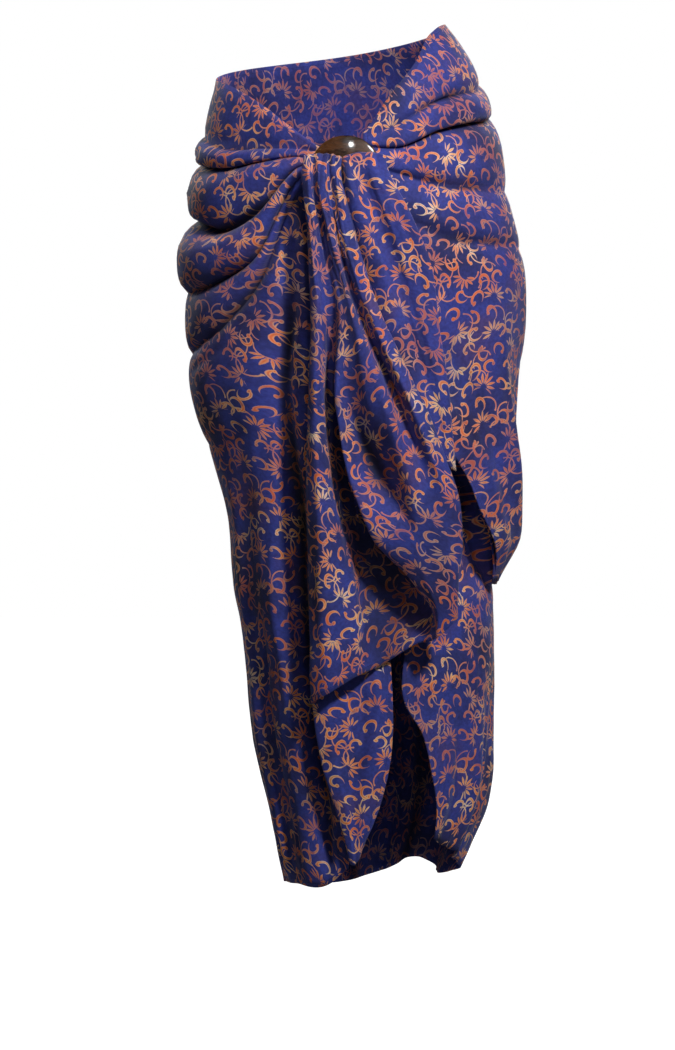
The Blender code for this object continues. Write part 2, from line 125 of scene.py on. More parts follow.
# Soft unevenness from -1 to 1 over a grid of points in mm
def unevenness(points, size, seed):
    flat = points.reshape(-1, 3) / size + seed
    values = [noise.noise(Vector(p)) for p in flat]
    return np.array(values).reshape(points.shape[:-1])


# The wound cloth, from the left front's inner edge round the back to the pouch on the right hip
wrap = {
    "columns": (88, 60, 92),
    "joins": (118, 235),
    "turnRows": 12,
    "belowRows": 76,
    # The pouch's floor and the top of the tuck under it, where there is no pouch
    "plainLevels": (-500.0, -530.0),
    "bottomPower": 1.7,
    "thickness": 0.8,
    "topEdge": [(0, -103), (13, -96), (19, -85), (28, -69), (36, -56), (50, -40), (68, -29), (88, -25),
                (120, -16), (180, 0), (235, 22), (272, 35), (298, 29), (308, 21), (324, -5), (343, -43),
                (357, -88), (366, -100)],
    "hem": [(-10, -886), (14, -892), (24, -906), (60, -908), (90, -905), (170, -903), (195, -889),
            (212, -878), (226, -889), (240, -896), (256, -893), (272, -883), (300, -871), (320, -859),
            (345, -850)],
    "leftEdge": [(-905, 14), (-830, 11.5), (-700, 6), (-500, 3), (-300, 3), (-100, 5)],
    "pouchEdge": [(-600, 285), (-577, 287), (-560, 291), (-535, 300), (-497, 312), (-465, 318), (-443, 323),
                  (-410, 332), (-370, 341), (-300, 349), (-200, 353), (-90, 355)],
    "underEdge": [(-905, 317), (-862, 319.5), (-836, 323), (-789, 329.5), (-760, 332), (-741, 335),
                  (-715, 343), (-646, 343.5), (-560, 335), (-470, 318)],
    "pouchFull": 285,
    "pouchFloor": [(235, -500), (262, -562), (280, -574), (299, -576), (330, -560)],
    "tuckTop": [(235, -530), (250, -558), (262, -574), (272, -548), (285, -502), (299, -438), (340, -430)],
    "floorSide": 299,
    "spacing": 0.9,
    # How far the pouch swells and curls in, sags at its turn, and how deep the gap and the hollow under
    # it are, in mm; a Side or a Top holds the degrees or the heights between which one comes in
    "pouchBulge": 28,
    "bulgeTop": (-300, -520),
    "pouchCurl": 19,
    "curlSide": (240, 262),
    "curlTop": (-520, -582),
    "floorRows": 1.7,
    "turnSag": 7,
    "underGap": 8.0,
    "underTop": (-680, -570),
    "caveDepth": 16.0,
    "caveTop": (-596, -560),
    # Crests and creases that fan out from the buckle: name, sub-rows to the next one, then the
    # height and the rise at each of these degrees round
    "at": (8, 20, 37, 55, 80, 118, 180, 235, 260, 280, 305, 323, 340, 355),
    "lines": [
        ("top edge", 5, None, (0, 0, 0, 0, 0, 0, 0, 0, 0, 0, 0, 0, 0, 0)),
        ("waist crease", 5, (-105, -100, -99, -101, -92, -78, -50, -18, -2, -6, -10, -25, -48, -84),
         (-1, -3, -6, -5, 0, 0, 0, 1, 2, 2, 4, 4, 2, 0)),
        ("first roll", 5, (-108, -104, -106, -109, -104, -92, -68, -40, -27, -36, -41, -51, -73, -88),
         (0, 1, 4, 7, 8, 5, 0, -2, -3, -3, -7, -7, -4, 0)),
        ("short crease", 5, (-111, -108, -113, -120, -119, -108, -86, -58, -46, -51, -57, -66, -87, -92),
         (-1, -2, -3, -4, 0, 0, 0, 2, 3, 3, 7, 7, 4, 1)),
        ("second roll", 6, (-114, -112, -127, -145, -149, -138, -112, -78, -64, -70, -72, -80, -97, -97),
         (1, 5, 12, 14, 13, 9, 4, -1, -3, -4, -8, -7, -5, -1)),
        ("deep crease", 6, (-118, -118, -165, -188, -180, -174, -148, -116, -102, -104, -101, -107, -112,
                            -104), (-2, -6, -10, -8, 0, 0, -2, 2, 4, 4, 8, 7, 5, 2)),
        ("hip roll", 6, (-122, -125, -190, -214, -219, -212, -184, -158, -148, -146, -142, -140, -128,
                         -114), (2, 8, 18, 20, 18, 12, 6, 0, 0, 1, -4, -4, -1, 0)),
        ("under the roll", 6, (-128, -132, -212, -241, -256, -250, -224, -196, -182, -178, -174, -167,
                               -147, -128), (-1, -3, -5, -2, 5, 2, -2, 3, 4, 5, 6, 4, 2, 0)),
        ("low roll", 7, (-134, -139, -227, -267, -290, -290, -262, -232, -216, -205, -202, -197, -176,
                         -149), (0, 3, 8, 11, 10, 7, 3, 0, 1, 2, -3, -3, 0, 0)),
        ("low crease", 10, (-142, -147, -240, -290, -318, -326, -306, -276, -254, -239, -237, -232, -212,
                            -178), (-1, -3, -5, -3, 2, 1, -1, 1, 4, 5, 6, 4, 2, 0)),
        ("last roll", 12, (-175, -204, -306, -340, -350, -360, -358, -345, -342, -340, -342, -330, -300,
                           -255), (0, 2, 7, 9, 8, 4, 0, 0, 0, 0, 0, 0, 0, 0)),
        ("below the rolls", 12, (-300, -330, -400, -422, -426, -432, -432, -425, -455, -465, -460, -440,
                                 -400, -345), (0, 0, 0, 0, 0, 0, 0, 0, 0, 0, 0, 0, 0, 0)),
    ],
    # The shade painted into the folds: rows and columns it is evened out over, and the depths in mm between
    # which it comes in
    "paintedShadeSpread": (6, 6),
    "paintedShadeLimits": (2.0, 13),
    "pinch": 0.26,
    "crisp": 2.3,
    "droop": 0.3,
    "takenUp": 0.38,
    "widest": -250,
    "narrowest": -600,
    # Long folds on the left: a path of (distance round, height), then rise and half width along it
    "longFolds": [
        ([(120, -330), (128, -440), (132, -600), (128, -880)], (2, 10, 6), (34, 52, 46)),
        ([(64, -160), (72, -240), (78, -330), (88, -440), (92, -600), (84, -880)],
         (-8, -20, -9), (13, 24, 22)),
        ([(205, -480), (214, -620), (206, -880)], (2, 6, 8), (24, 28, 28)),
    ],
    # The pouch's slack: share of its width, rise, half width
    "slack": [(0.42, -3, 0.12), (0.60, 5, 0.13), (0.76, -5, 0.12), (0.90, 4, 0.12)],
    "slackTop": (-170, -420),
    # Hanging folds at the back: degrees round, rise, half width in degrees, where they start
    "hanging": [
        (112, 9, 10, -430), (131, -9, 9, -400), (150, 13, 10, -350), (169, -10, 9, -340),
        (187, 14, 10, -330), (206, -10, 9, -350), (224, 9, 10, -380), (243, -5, 10, -540),
        (261, 8, 9, -600), (279, -6, 8, -610), (296, 6, 8, -610), (312, -5, 7, -620),
    ],
    # Small creases: degrees and height at the start, the middle and the end, rise, half width
    "creases": [
        # left front, fanning from the buckle
        ((12, -108), (34, -118), (66, -132), -1.6, 6), ((14, -114), (36, -146), (62, -168), -2.2, 7),
        ((16, -126), (38, -178), (70, -204), 1.8, 8), ((18, -130), (42, -203), (84, -236), -2.4, 7),
        ((16, -140), (34, -236), (60, -300), -2.6, 9), ((14, -150), (28, -262), (44, -352), 2.4, 10),
        ((13, -170), (24, -300), (38, -430), -2.8, 10), ((30, -250), (52, -318), (86, -352), -2.0, 9),
        ((46, -330), (64, -392), (92, -424), -1.8, 10), ((28, -360), (44, -452), (70, -520), -2.2, 13),
        ((70, -94), (92, -112), (114, -108), -1.8, 6), ((76, -136), (96, -154), (122, -152), 1.8, 7),
        ((84, -196), (104, -206), (130, -198), -2.2, 7), ((88, -264), (108, -276), (134, -268), -2.0, 8),
        # lower left, long and soft
        ((40, -470), (44, -620), (40, -780), 2.6, 13), ((54, -560), (58, -700), (54, -860), -2.4, 12),
        ((24, -520), (20, -660), (23, -820), -2.4, 11), ((14, -600), (12, -720), (16, -850), 2.0, 9),
        ((72, -500), (78, -640), (74, -790), -2.6, 14), ((92, -560), (96, -720), (93, -890), 2.4, 12),
        ((34, -760), (31, -830), (34, -900), 2.2, 8), ((64, -780), (66, -850), (63, -905), 2.4, 9),
        ((48, -800), (49, -860), (47, -905), -2.0, 7), ((82, -800), (84, -860), (82, -905), -2.2, 8),
        # back
        ((118, -60), (140, -78), (168, -66), -1.8, 7), ((150, -120), (178, -140), (204, -122), -2.0, 8),
        ((124, -236), (150, -262), (184, -250), -2.0, 9), ((196, -190), (220, -214), (246, -196), -1.8, 8),
        ((140, -320), (156, -420), (148, -540), -2.2, 11), ((176, -300), (186, -430), (178, -560), 2.0, 10),
        ((204, -300), (214, -400), (208, -520), -2.2, 11), ((160, -600), (163, -720), (158, -880), -2.0, 9),
        ((196, -580), (200, -720), (196, -880), 2.2, 9), ((232, -420), (240, -520), (236, -640), -2.0, 10),
        ((122, -640), (124, -760), (121, -890), 2.2, 9), ((178, -720), (180, -800), (177, -900), -2.0, 7),
        # right front, fanning from the buckle
        ((352, -96), (330, -62), (304, -22), 1.5, 6), ((350, -100), (328, -78), (296, -54), -1.6, 6),
        ((351, -108), (330, -104), (298, -88), -2.0, 7), ((350, -116), (326, -124), (290, -122), 1.8, 8),
        ((349, -126), (324, -152), (286, -162), -1.8, 7), ((348, -140), (322, -184), (282, -196), 1.6, 8),
        ((347, -156), (322, -214), (284, -232), -2.0, 8), ((346, -180), (322, -250), (292, -286), -2.0, 10),
        ((344, -220), (326, -300), (304, -362), 2.0, 11), ((340, -280), (326, -360), (312, -440), -2.4, 10),
        ((334, -330), (322, -410), (310, -478), 2.4, 9), ((318, -330), (304, -410), (296, -500), -2.4, 11),
        ((300, -300), (290, -400), (286, -500), 2.2, 12), ((278, -330), (272, -430), (272, -520), -2.2, 12),
        ((262, -300), (258, -400), (262, -490), 1.8, 11), ((262, -60), (282, -72), (304, -64), -1.6, 6),
        # lower right, under the pouch
        ((318, -600), (322, -700), (320, -800), -2.4, 9), ((300, -620), (304, -740), (300, -860), 2.2, 10),
        ((284, -640), (288, -760), (284, -880), -2.2, 9), ((332, -640), (330, -700), (327, -770), 2.4, 8),
        ((268, -640), (271, -760), (268, -885), 2.0, 9), ((310, -700), (312, -780), (309, -850), -2.0, 8),
        ((252, -620), (254, -740), (250, -890), -2.2, 10), ((292, -600), (310, -640), (326, -690), -2.2, 9),
    ],
    "hangingReach": 260,
    "unevenness": [(95, 2.2), (38, 0.9), (15, 0.25)],
}


# Every fold and crease that isn't one of the wrap's lines, at these angles and heights
def wrapRise(angle, height):
    scale = np.radians(1) * hollowForm["meanRadius"]
    across = scale * angle
    total = np.zeros(angle.shape)
    for path, rises, widths in wrap["longFolds"]:
        total += strokeRise(path, rises, widths, across, height)
    for centre, rise, width, top in wrap["hanging"]:
        total += rise * ease(top, top - wrap["hangingReach"], height) * bump(angle - centre, width)
    for start, middle, end, rise, width in wrap["creases"]:
        path = [(scale * a, z) for a, z in (start, middle, end)]
        total += strokeRise(path, (0, rise, rise, 0), (0.5 * width, width, width, 0.6 * width), across,
                            height)
    return total


def wrapLine(line, angle, floor):
    if line == len(wrap["lines"]):
        return floor + np.zeros(angle.shape), np.zeros(angle.shape)
    heights, rises = wrap["lines"][line][2:]
    rise = smoothCurve(list(zip(wrap["at"], rises)), angle)
    if heights is None:
        return smoothCurve(wrap["topEdge"], angle), rise
    return smoothCurve(list(zip(wrap["at"], heights)), angle), rise


# The height and the rise of one row: a (line, part), or a share of the turn or of the skirt
def wrapRow(row, angle, floor, tuckTop):
    kind, part = row
    flat = np.zeros(angle.shape)
    if kind == "turn":
        return floor + (tuckTop - floor) * part + flat, flat
    if kind == "skirt":
        share = part ** wrap["bottomPower"]
        return tuckTop * (1 - share) + smoothCurve(wrap["hem"], angle) * share, flat
    height, rise = wrapLine(kind, angle, floor)
    below, nextRise = wrapLine(kind + 1, angle, floor)
    drop = rise - nextRise
    crest = np.where(drop > 0, 1 - part**wrap["crisp"], (1 - part) ** wrap["crisp"])
    nearCrease = np.where(drop > 0, ease(0.72, 1, part), ease(0.28, 0, part))
    rise = nextRise + drop * crest - wrap["pinch"] * np.abs(drop) * nearCrease
    # the rolls hang over the creases below them
    sag = wrap["droop"] * np.maximum(drop, 0) * math.sin(math.pi * part)
    return height * (1 - part) + below * part - sag, rise


def wrapRows():
    rows = [
        (line, step / count)
        for line, (_, count, _, _) in enumerate(wrap["lines"])
        for step in range(count)
    ]
    rows += [("turn", step / wrap["turnRows"]) for step in range(wrap["turnRows"])]
    return rows + [("skirt", step / wrap["belowRows"]) for step in range(wrap["belowRows"] + 1)]


# The wrap's middle surface as one grid, rows from the top edge down
def wrapPoints():
    rows = wrapRows()
    leftCols, backCols, rightCols = wrap["columns"]
    left, right = wrap["joins"]
    u = np.linspace(0, 1, rightCols + 1) ** wrap["spacing"]
    floorAngle = right + (wrap["floorSide"] - right) * u
    floor = smoothCurve(wrap["pouchFloor"], floorAngle)
    tuckTop = smoothCurve(wrap["tuckTop"], floorAngle)
    tucked = ease(right, wrap["pouchFull"], floorAngle)
    angles, heights, outs = [], [], []
    for row in rows:
        kind, part = row
        # left front, whose inner edge depends on the height
        share = np.linspace(0, 1, leftCols + 1)
        angle = wrap["at"][0] * (1 - share) + left * share
        for _ in range(4):
            height, rise = wrapRow(row, angle, *wrap["plainLevels"])
            near = smoothCurve(wrap["leftEdge"], height)
            angle = near + (left - near) * share
        backAngle = np.linspace(left, right, backCols + 1)[1:-1]
        backHeight, backRise = wrapRow(row, backAngle, *wrap["plainLevels"])
        # right front: down the pouch, in and up under it, then down to the hem
        over = {"turn": part, "skirt": 1.0}.get(kind, 0.0)
        rightHeight = floor if over == 0 else tuckTop
        for _ in range(5):
            outerEdge = smoothCurve(wrap["pouchEdge"], rightHeight if over == 0 else floor)
            underEdge = smoothCurve(wrap["underEdge"], rightHeight if over == 1 else tuckTop)
            rightAngle = right + (outerEdge * (1 - over) + underEdge * over - right) * u
            rightHeight, rightRise = wrapRow(row, rightAngle, floor, tuckTop)
        rightRise = rightRise + wrapRise(rightAngle, rightHeight)
        slack = sum(lift * bump(u - place, width) for place, lift, width in wrap["slack"])
        slack = slack * ease(*wrap["slackTop"], rightHeight)
        swell = wrap["pouchBulge"] * tucked * ease(*wrap["bulgeTop"], rightHeight)
        curl = ease(*wrap["curlSide"], rightAngle) * ease(*wrap["curlTop"], rightHeight)
        curl = wrap["pouchCurl"] * curl
        if over == 0:
            line = len(wrap["lines"]) if kind == "turn" else kind + part
            nearFloor = ease(len(wrap["lines"]) - wrap["floorRows"], len(wrap["lines"]), line)
            rightOut = rightRise + slack * (1 - 0.6 * nearFloor) + swell * (1 - 0.3 * nearFloor) - curl
        elif kind == "turn":
            inward = over**0.6
            outer = rightRise + slack * 0.4 + wrap["pouchBulge"] * 0.7 * tucked - curl
            rightOut = outer * (1 - inward) + (rightRise - wrap["underGap"] * 0.15 * tucked) * inward
            sag = wrap["turnSag"] * tucked * math.sin(math.pi * min(over * 2, 1))
            rightHeight = rightHeight - sag
        else:
            under = tucked * ease(*wrap["underTop"], rightHeight)
            drop = 0.15 + 0.85 * ease(0, 4, tuckTop - rightHeight)
            cave = wrap["caveDepth"] * tucked * ease(*wrap["caveTop"], rightHeight)
            rightOut = rightRise * (1 - under) - (wrap["underGap"] * under + cave) * drop
        leftOut = rise + wrapRise(angle, height)
        backOut = backRise + wrapRise(backAngle, backHeight)
        angles.append(np.concatenate([angle, backAngle, rightAngle]))
        heights.append(np.concatenate([height, backHeight, rightHeight]))
        outs.append(np.concatenate([leftOut, backOut, rightOut]))
    angles, heights, outs = np.array(angles), np.array(heights), np.array(outs)
    base = formPoint(angles, heights, outs * 0)
    for k, (size, depth) in enumerate(wrap["unevenness"]):
        outs = outs + depth * unevenness(base, size, 11.3 * (k + 1))
    girth = formPoint(angles, np.clip(heights, wrap["narrowest"], wrap["widest"]), outs * 0)[..., :2]
    return seen(formPoint(angles, heights, outs)), angles, girth, outs


# The wrap's place on the flat cloth, in metres: across from the back, and down from the waist
def wrapFlat(points, angles, base, outs):
    step = np.linalg.norm(np.diff(base, axis=1), axis=-1)
    step = np.hypot(step, np.diff(outs, axis=1))
    across = np.concatenate([np.zeros((len(points), 1)), np.cumsum(step, axis=1)], axis=1)
    middle = np.argmin(np.abs(angles[0] - 180))
    across -= across[:, middle : middle + 1]
    fall = np.linalg.norm(np.diff(points, axis=0), axis=-1)
    down = np.concatenate([np.zeros((1, points.shape[1])), np.cumsum(fall, axis=0)], axis=0)
    # the rolls take up more cloth than their height; it is evened out across, and kept below the last
    extra = down - (points[:1, :, 2] - points[..., 2])
    lastRow = sum(line[1] for line in wrap["lines"])
    extra[lastRow + 1 :] = extra[lastRow]
    extra = softened(extra * wrap["takenUp"], 20, 1)
    down = extra - points[..., 2]
    return np.stack([across, -down], -1) * mm


# Values evened out along one axis of a grid, over about this many rows or columns
def softened(values, reach, axis):
    values = np.moveaxis(values, axis, -1)
    offsets = np.arange(-3 * reach, 3 * reach + 1)
    weight = np.exp(-0.5 * (offsets / reach) ** 2)
    padded = np.pad(values, ((0, 0), (3 * reach, 3 * reach)), mode="reflect", reflect_type="odd")
    soft = np.array([np.convolve(row, weight / weight.sum(), mode="valid") for row in padded])
    return np.moveaxis(soft, -1, axis)


# How deep each point lies in its folds, from 0 to 1; this is the mask for the shade painted into the folds
def foldDepth(rise, spread, limits):
    low, high = limits
    mean = softened(softened(rise, spread[0], 0), spread[1], 1)
    return ease(low, high, mean - rise)


# Points on a smooth curve through rows of points, evenly spaced or closer at the start
def curveThrough(points, count, bias=1.0):
    points = np.asarray(points, float)
    gaps = np.linalg.norm(np.diff(points, axis=0), axis=-1)
    while gaps.ndim > 1:
        gaps = gaps.mean(axis=-1)
    place = np.concatenate([[0], np.cumsum(gaps)])
    at = place[-1] * np.linspace(0, 1, count) ** bias
    slope = np.gradient(points, place, axis=0)
    k = np.clip(np.searchsorted(place, at) - 1, 0, len(place) - 2)
    shape = (-1,) + (1,) * (points.ndim - 1)
    h = (place[k + 1] - place[k]).reshape(shape)
    t = (at - place[k]).reshape(shape) / h
    rise = (3 - 2 * t) * t * t
    ends = slope[k] * h * t * (1 - t) ** 2 + slope[k + 1] * h * t * t * (t - 1)
    return points[k] * (1 - rise) + points[k + 1] * rise + ends


# The falls: one row for each fold line, left to right, with x and the depth in front of the waist's
# middle at each level, then the height of its hem
leftFall = {
    "levels": [-118, -187, -275, -374, -430, -484, -530, -570, -605],
    "lines": [
        ("turned edge", (-32, -28, -24, -26, -27, -26, -25, -24, -23, -21),
         (128, 127, 124, 120, 119, 118, 118, 119, 120, 120), -709),
        ("left fold", (-38, -34, -30, -32, -33, -34, -33, -32, -31, -29),
         (137, 138, 137, 132, 130, 128, 127, 126, 125, 124), -708),
        ("strip crest", (-33, -27, -23, -24, -23, -20, -17, -14, -12, -9),
         (146, 149, 149, 148, 149, 149, 149, 147, 144, 140), -697),
        ("strip's right edge", (-30, -22, -15, -14, -11, -4, 3, 9, 14, 20),
         (144, 144, 145, 136, 135, 135, 136, 136, 134, 134), -679),
        ("deep valley", (-27, -19, -11, -11, -4, 6, 16, 26, 34, 48),
         (141, 139, 142, 117, 112, 111, 111, 111, 111, 114), -666),
        ("behind the drape", (-24, -15, -4, 2, 15, 35, 57, 80, 96, 84),
         (143, 142, 143, 116, 113, 112, 112, 113, 114, 120), -644),
        ("drape's edge", (-21, -12, 2, -1, 7, 22, 43, 78, 104, 102),
         (147, 149, 152, 149, 152, 153, 150, 145, 139, 133), -640),
        ("pocket", (-17, -9, 9, 15, 32, 58, 78, 92, 108, 106),
         (148, 150, 155, 145, 132, 139, 157, 153, 147, 137), -638),
        ("fall crest", (-13, -5, 16, 50, 68, 83, 92, 101, 111, 110),
         (147, 149, 158, 168, 168, 163, 159, 155, 150, 143), -636),
        ("second valley", (-9, 0, 23, 66, 86, 103, 112, 118, 119, 118),
         (142, 142, 145, 150, 155, 160, 160, 155, 150, 145), -629),
        ("outer crest", (-3, 7, 34, 79, 102, 120, 126, 128, 127, 126),
         (147, 151, 160, 168, 167, 163, 158, 153, 149, 145), -621),
        ("right fold", (4, 18, 46, 93, 116, 134, 137, 134, 132, 132),
         (143, 145, 151, 155, 154, 152, 148, 144, 141, 138), -612),
        ("turned back", (-1, 13, 39, 85, 107, 125, 128, 126, 124, 124),
         (138, 137, 140, 143, 143, 142, 139, 136, 134, 132), -612),
    ],
    "cells": (150, 190),
    # The shade painted into the folds: rows and columns it is evened out over, and the depths in mm between
    # which it comes in
    "paintedShadeSpread": (8, 13),
    "paintedShadeLimits": (2.0, 16),
    "side": -1,
    "pleats": (6, 1.5, 60),
    "crown": [(0.16, -129.5, 6), (0.10, -134, 12), (0.04, -141, 13)],
    "bias": 0.35,
    "thickness": 0.8,
    # Small creases: share across and share down at the start, the middle and the end, rise, half width
    "creases": [
        ((0.20, 0.03), (0.22, 0.18), (0.24, 0.36), -2.2, 5),
        ((0.30, 0.02), (0.34, 0.14), (0.36, 0.30), -2.6, 5),
        ((0.40, 0.02), (0.45, 0.16), (0.47, 0.36), 1.8, 6),
        ((0.50, 0.02), (0.53, 0.15), (0.55, 0.34), -2.4, 5),
        ((0.60, 0.02), (0.62, 0.18), (0.62, 0.40), 2.0, 6),
        ((0.68, 0.02), (0.70, 0.16), (0.71, 0.38), -2.4, 5),
        ((0.78, 0.03), (0.79, 0.22), (0.78, 0.44), 1.8, 6),
        ((0.86, 0.02), (0.86, 0.14), (0.85, 0.30), -2.0, 5),
        ((0.55, 0.34), (0.60, 0.48), (0.66, 0.62), -2.4, 8),
        ((0.72, 0.40), (0.76, 0.54), (0.80, 0.68), 2.0, 9),
        ((0.44, 0.44), (0.50, 0.56), (0.58, 0.66), -2.4, 8),
        ((0.20, 0.40), (0.22, 0.58), (0.20, 0.78), 2.0, 8),
        ((0.60, 0.62), (0.68, 0.74), (0.78, 0.82), -2.2, 9),
        ((0.40, 0.66), (0.46, 0.78), (0.56, 0.88), 2.2, 9),
        ((0.80, 0.60), (0.84, 0.74), (0.88, 0.88), -2.2, 8),
        ((0.30, 0.72), (0.30, 0.84), (0.34, 0.97), -2.2, 8),
        ((0.14, 0.62), (0.13, 0.80), (0.15, 0.98), -2.0, 7),
        ((0.66, 0.82), (0.70, 0.90), (0.74, 0.99), 1.8, 8),
    ],
    "unevenness": [(60, 1.4), (22, 0.6), (9, 0.15)],
}
rightFall = {
    "levels": [-116, -160, -220, -297, -374],
    "lines": [
        ("under the fall", (3, 7, 18, 40, 65, 99), (136, 133, 130, 130, 130, 129), -440),
        ("inner crest", (10, 19, 40, 66, 90, 112), (148, 150, 144, 138, 135, 131), -444),
        ("valley", (24, 40, 60, 84, 106, 120), (144, 141, 135, 131, 130, 128), -447),
        ("outer crest", (40, 60, 82, 98, 116, 126), (147, 146, 140, 135, 131, 127), -450),
        ("outer fold", (53, 75, 101, 112, 123, 129), (141, 139, 133, 127, 124, 121), -452),
        ("turned under", (48, 69, 95, 107, 119, 126), (136, 132, 127, 122, 119, 117), -450),
    ],
    "cells": (84, 120),
    "paintedShadeSpread": (8, 12),
    "paintedShadeLimits": (1.5, 15),
    "side": 1,
    "pleats": (4, 1.1, 55),
    "crown": [(0.16, -129.5, 6), (0.10, -134, 12), (0.04, -141, 12)],
    "bias": -0.3,
    "thickness": 0.8,
    "creases": [
        ((0.25, 0.02), (0.28, 0.25), (0.34, 0.50), -1.8, 5),
        ((0.42, 0.02), (0.46, 0.20), (0.50, 0.46), 1.6, 6),
        ((0.58, 0.02), (0.60, 0.24), (0.60, 0.55), -2.0, 5),
        ((0.72, 0.03), (0.74, 0.26), (0.72, 0.60), 1.6, 6),
        ((0.84, 0.05), (0.84, 0.30), (0.80, 0.62), -1.8, 5),
        ((0.50, 0.40), (0.56, 0.58), (0.66, 0.80), -1.8, 6),
    ],
    "unevenness": [(55, 1.2), (20, 0.5), (9, 0.15)],
}
cornerFall = {
    "levels": [-610, -655, -710, -765, -818],
    "lines": [
        ("turned edge", (-23, -22, -20, -12, 4, 18), (106, 106, 106, 105, 102, 98), -884),
        ("left fold", (-29, -28, -27, -20, -4, 15), (108, 109, 111, 110, 107, 102), -886),
        ("crest", (-14, -13, -11, -6, 7, 18), (110, 112, 117, 115, 112, 106), -888),
        ("valley", (9, 9, 14, 15, 17, 20), (105, 107, 109, 109, 107, 103), -886),
        ("inner crest", (37, 40, 45, 41, 32, 23), (106, 108, 113, 112, 108, 102), -882),
        ("inner edge", (57, 58, 61, 59, 48, 26), (102, 103, 105, 104, 102, 98), -872),
    ],
    "cells": (66, 100),
    "paintedShadeSpread": (6, 9),
    "paintedShadeLimits": (1.5, 15),
    "side": 0,
    "pleats": None,
    "bias": 0.12,
    "thickness": 0.8,
    "creases": [
        ((0.42, 0.10), (0.46, 0.40), (0.50, 0.72), -1.8, 6),
        ((0.62, 0.16), (0.66, 0.44), (0.60, 0.76), 1.6, 7),
        ((0.80, 0.10), (0.82, 0.36), (0.74, 0.66), -1.6, 6),
        ((0.30, 0.30), (0.34, 0.56), (0.44, 0.86), 1.4, 6),
    ],
    "unevenness": [(55, 1.2), (20, 0.5), (9, 0.15)],
}
# How far a fall's top droops at its ends and between its pleats, and how far down that reaches, in mm
topDroop = {"ends": 8, "pleats": 0.8, "reach": 34}


def gridNormals(points):
    down = np.gradient(points, axis=0)
    across = np.gradient(points, axis=1)
    normal = np.cross(across, down)
    return normal / np.maximum(np.linalg.norm(normal, axis=-1, keepdims=True), 1e-9)


# A fall's place on the flat cloth, in metres, turned because it hangs on the cross
def gridFlat(points, bias, smooth=False):
    step = np.linalg.norm(np.diff(points, axis=1), axis=-1)
    across = np.concatenate([np.zeros((len(points), 1)), np.cumsum(step, axis=1)], axis=1)
    across -= across[:, points.shape[1] // 2][:, None]
    fall = np.linalg.norm(np.diff(points, axis=0), axis=-1)
    down = np.concatenate([np.zeros((1, points.shape[1])), np.cumsum(fall, axis=0)], axis=0)
    if smooth:
        across, down = softened(across, 12, 0), softened(down, 9, 1)
    u = across * math.cos(bias) - down * math.sin(bias)
    v = -down * math.cos(bias) - across * math.sin(bias)
    return np.stack([u, v], -1) * mm, across, down


# A fall's middle surface as a grid; at the buckle its top leans back towards the hole
def fallPoints(fall):
    cols, rows = fall["cells"]
    net = []
    for _, xs, depths, hem in fall["lines"]:
        column = [(x, -depth, z) for x, depth, z in zip(xs, depths, fall["levels"] + [hem])]
        if fall["side"]:
            mouth = holeCentre(fall["side"])[0]
            x, _, z = column[0]
            column[0:0] = [
                (x * (1 - near) + mouth * near, y, z + up) for near, y, up in fall["crown"]
            ]
        net.append(column)
    down = curveThrough(np.array(net).transpose(1, 0, 2), rows + 1, 1.5 if fall["side"] else 1.0)
    points = curveThrough(down.transpose(1, 0, 2), cols + 1).transpose(1, 0, 2)
    _, across, drop = gridFlat(points, 0)
    width = (across[:, -1] - across[:, 0])[:, None]
    share = (across - across[:, :1]) / width
    level = drop / drop[-1:]
    meanWidth, meanDrop = width.mean(), drop[-1].mean()
    out = np.zeros(share.shape)
    for start, middle, end, rise, halfWidth in fall["creases"]:
        path = [(a * meanWidth, b * meanDrop) for a, b in (start, middle, end)]
        narrow = np.interp(start[1], (0, 0.3), (0.6, 1))
        rise *= np.interp(start[1], (0, 0.3), (0.75, 1))
        out += strokeRise(path, (0, rise, rise, 0), (halfWidth * narrow, halfWidth, halfWidth, halfWidth),
                          share * meanWidth, level * meanDrop)
    if fall["pleats"]:
        count, depth, fade = fall["pleats"]
        # the pleats aren't all as wide, and the fall's top droops at its two ends
        wave = np.cos(2 * np.pi * count * (share + 0.03 * np.sin(9 * share)))
        shoulder = topDroop["ends"] * np.abs(2 * share - 1) ** 3 - topDroop["pleats"] * wave
        points[..., 2] -= shoulder * ease(topDroop["reach"], 8, drop)
        out += depth * wave * ease(fade, 8, drop) * ease(0, 6, drop)
    for k, (size, depth) in enumerate(fall["unevenness"]):
        out += depth * unevenness(points, size, 5.7 * (k + 1)) * ease(0, 30, drop)
    return seen(points + gridNormals(points) * out[..., None])


# Where the cloth is turned in along its edges, and so twice as thick, in mm
hemWidth = 6.5


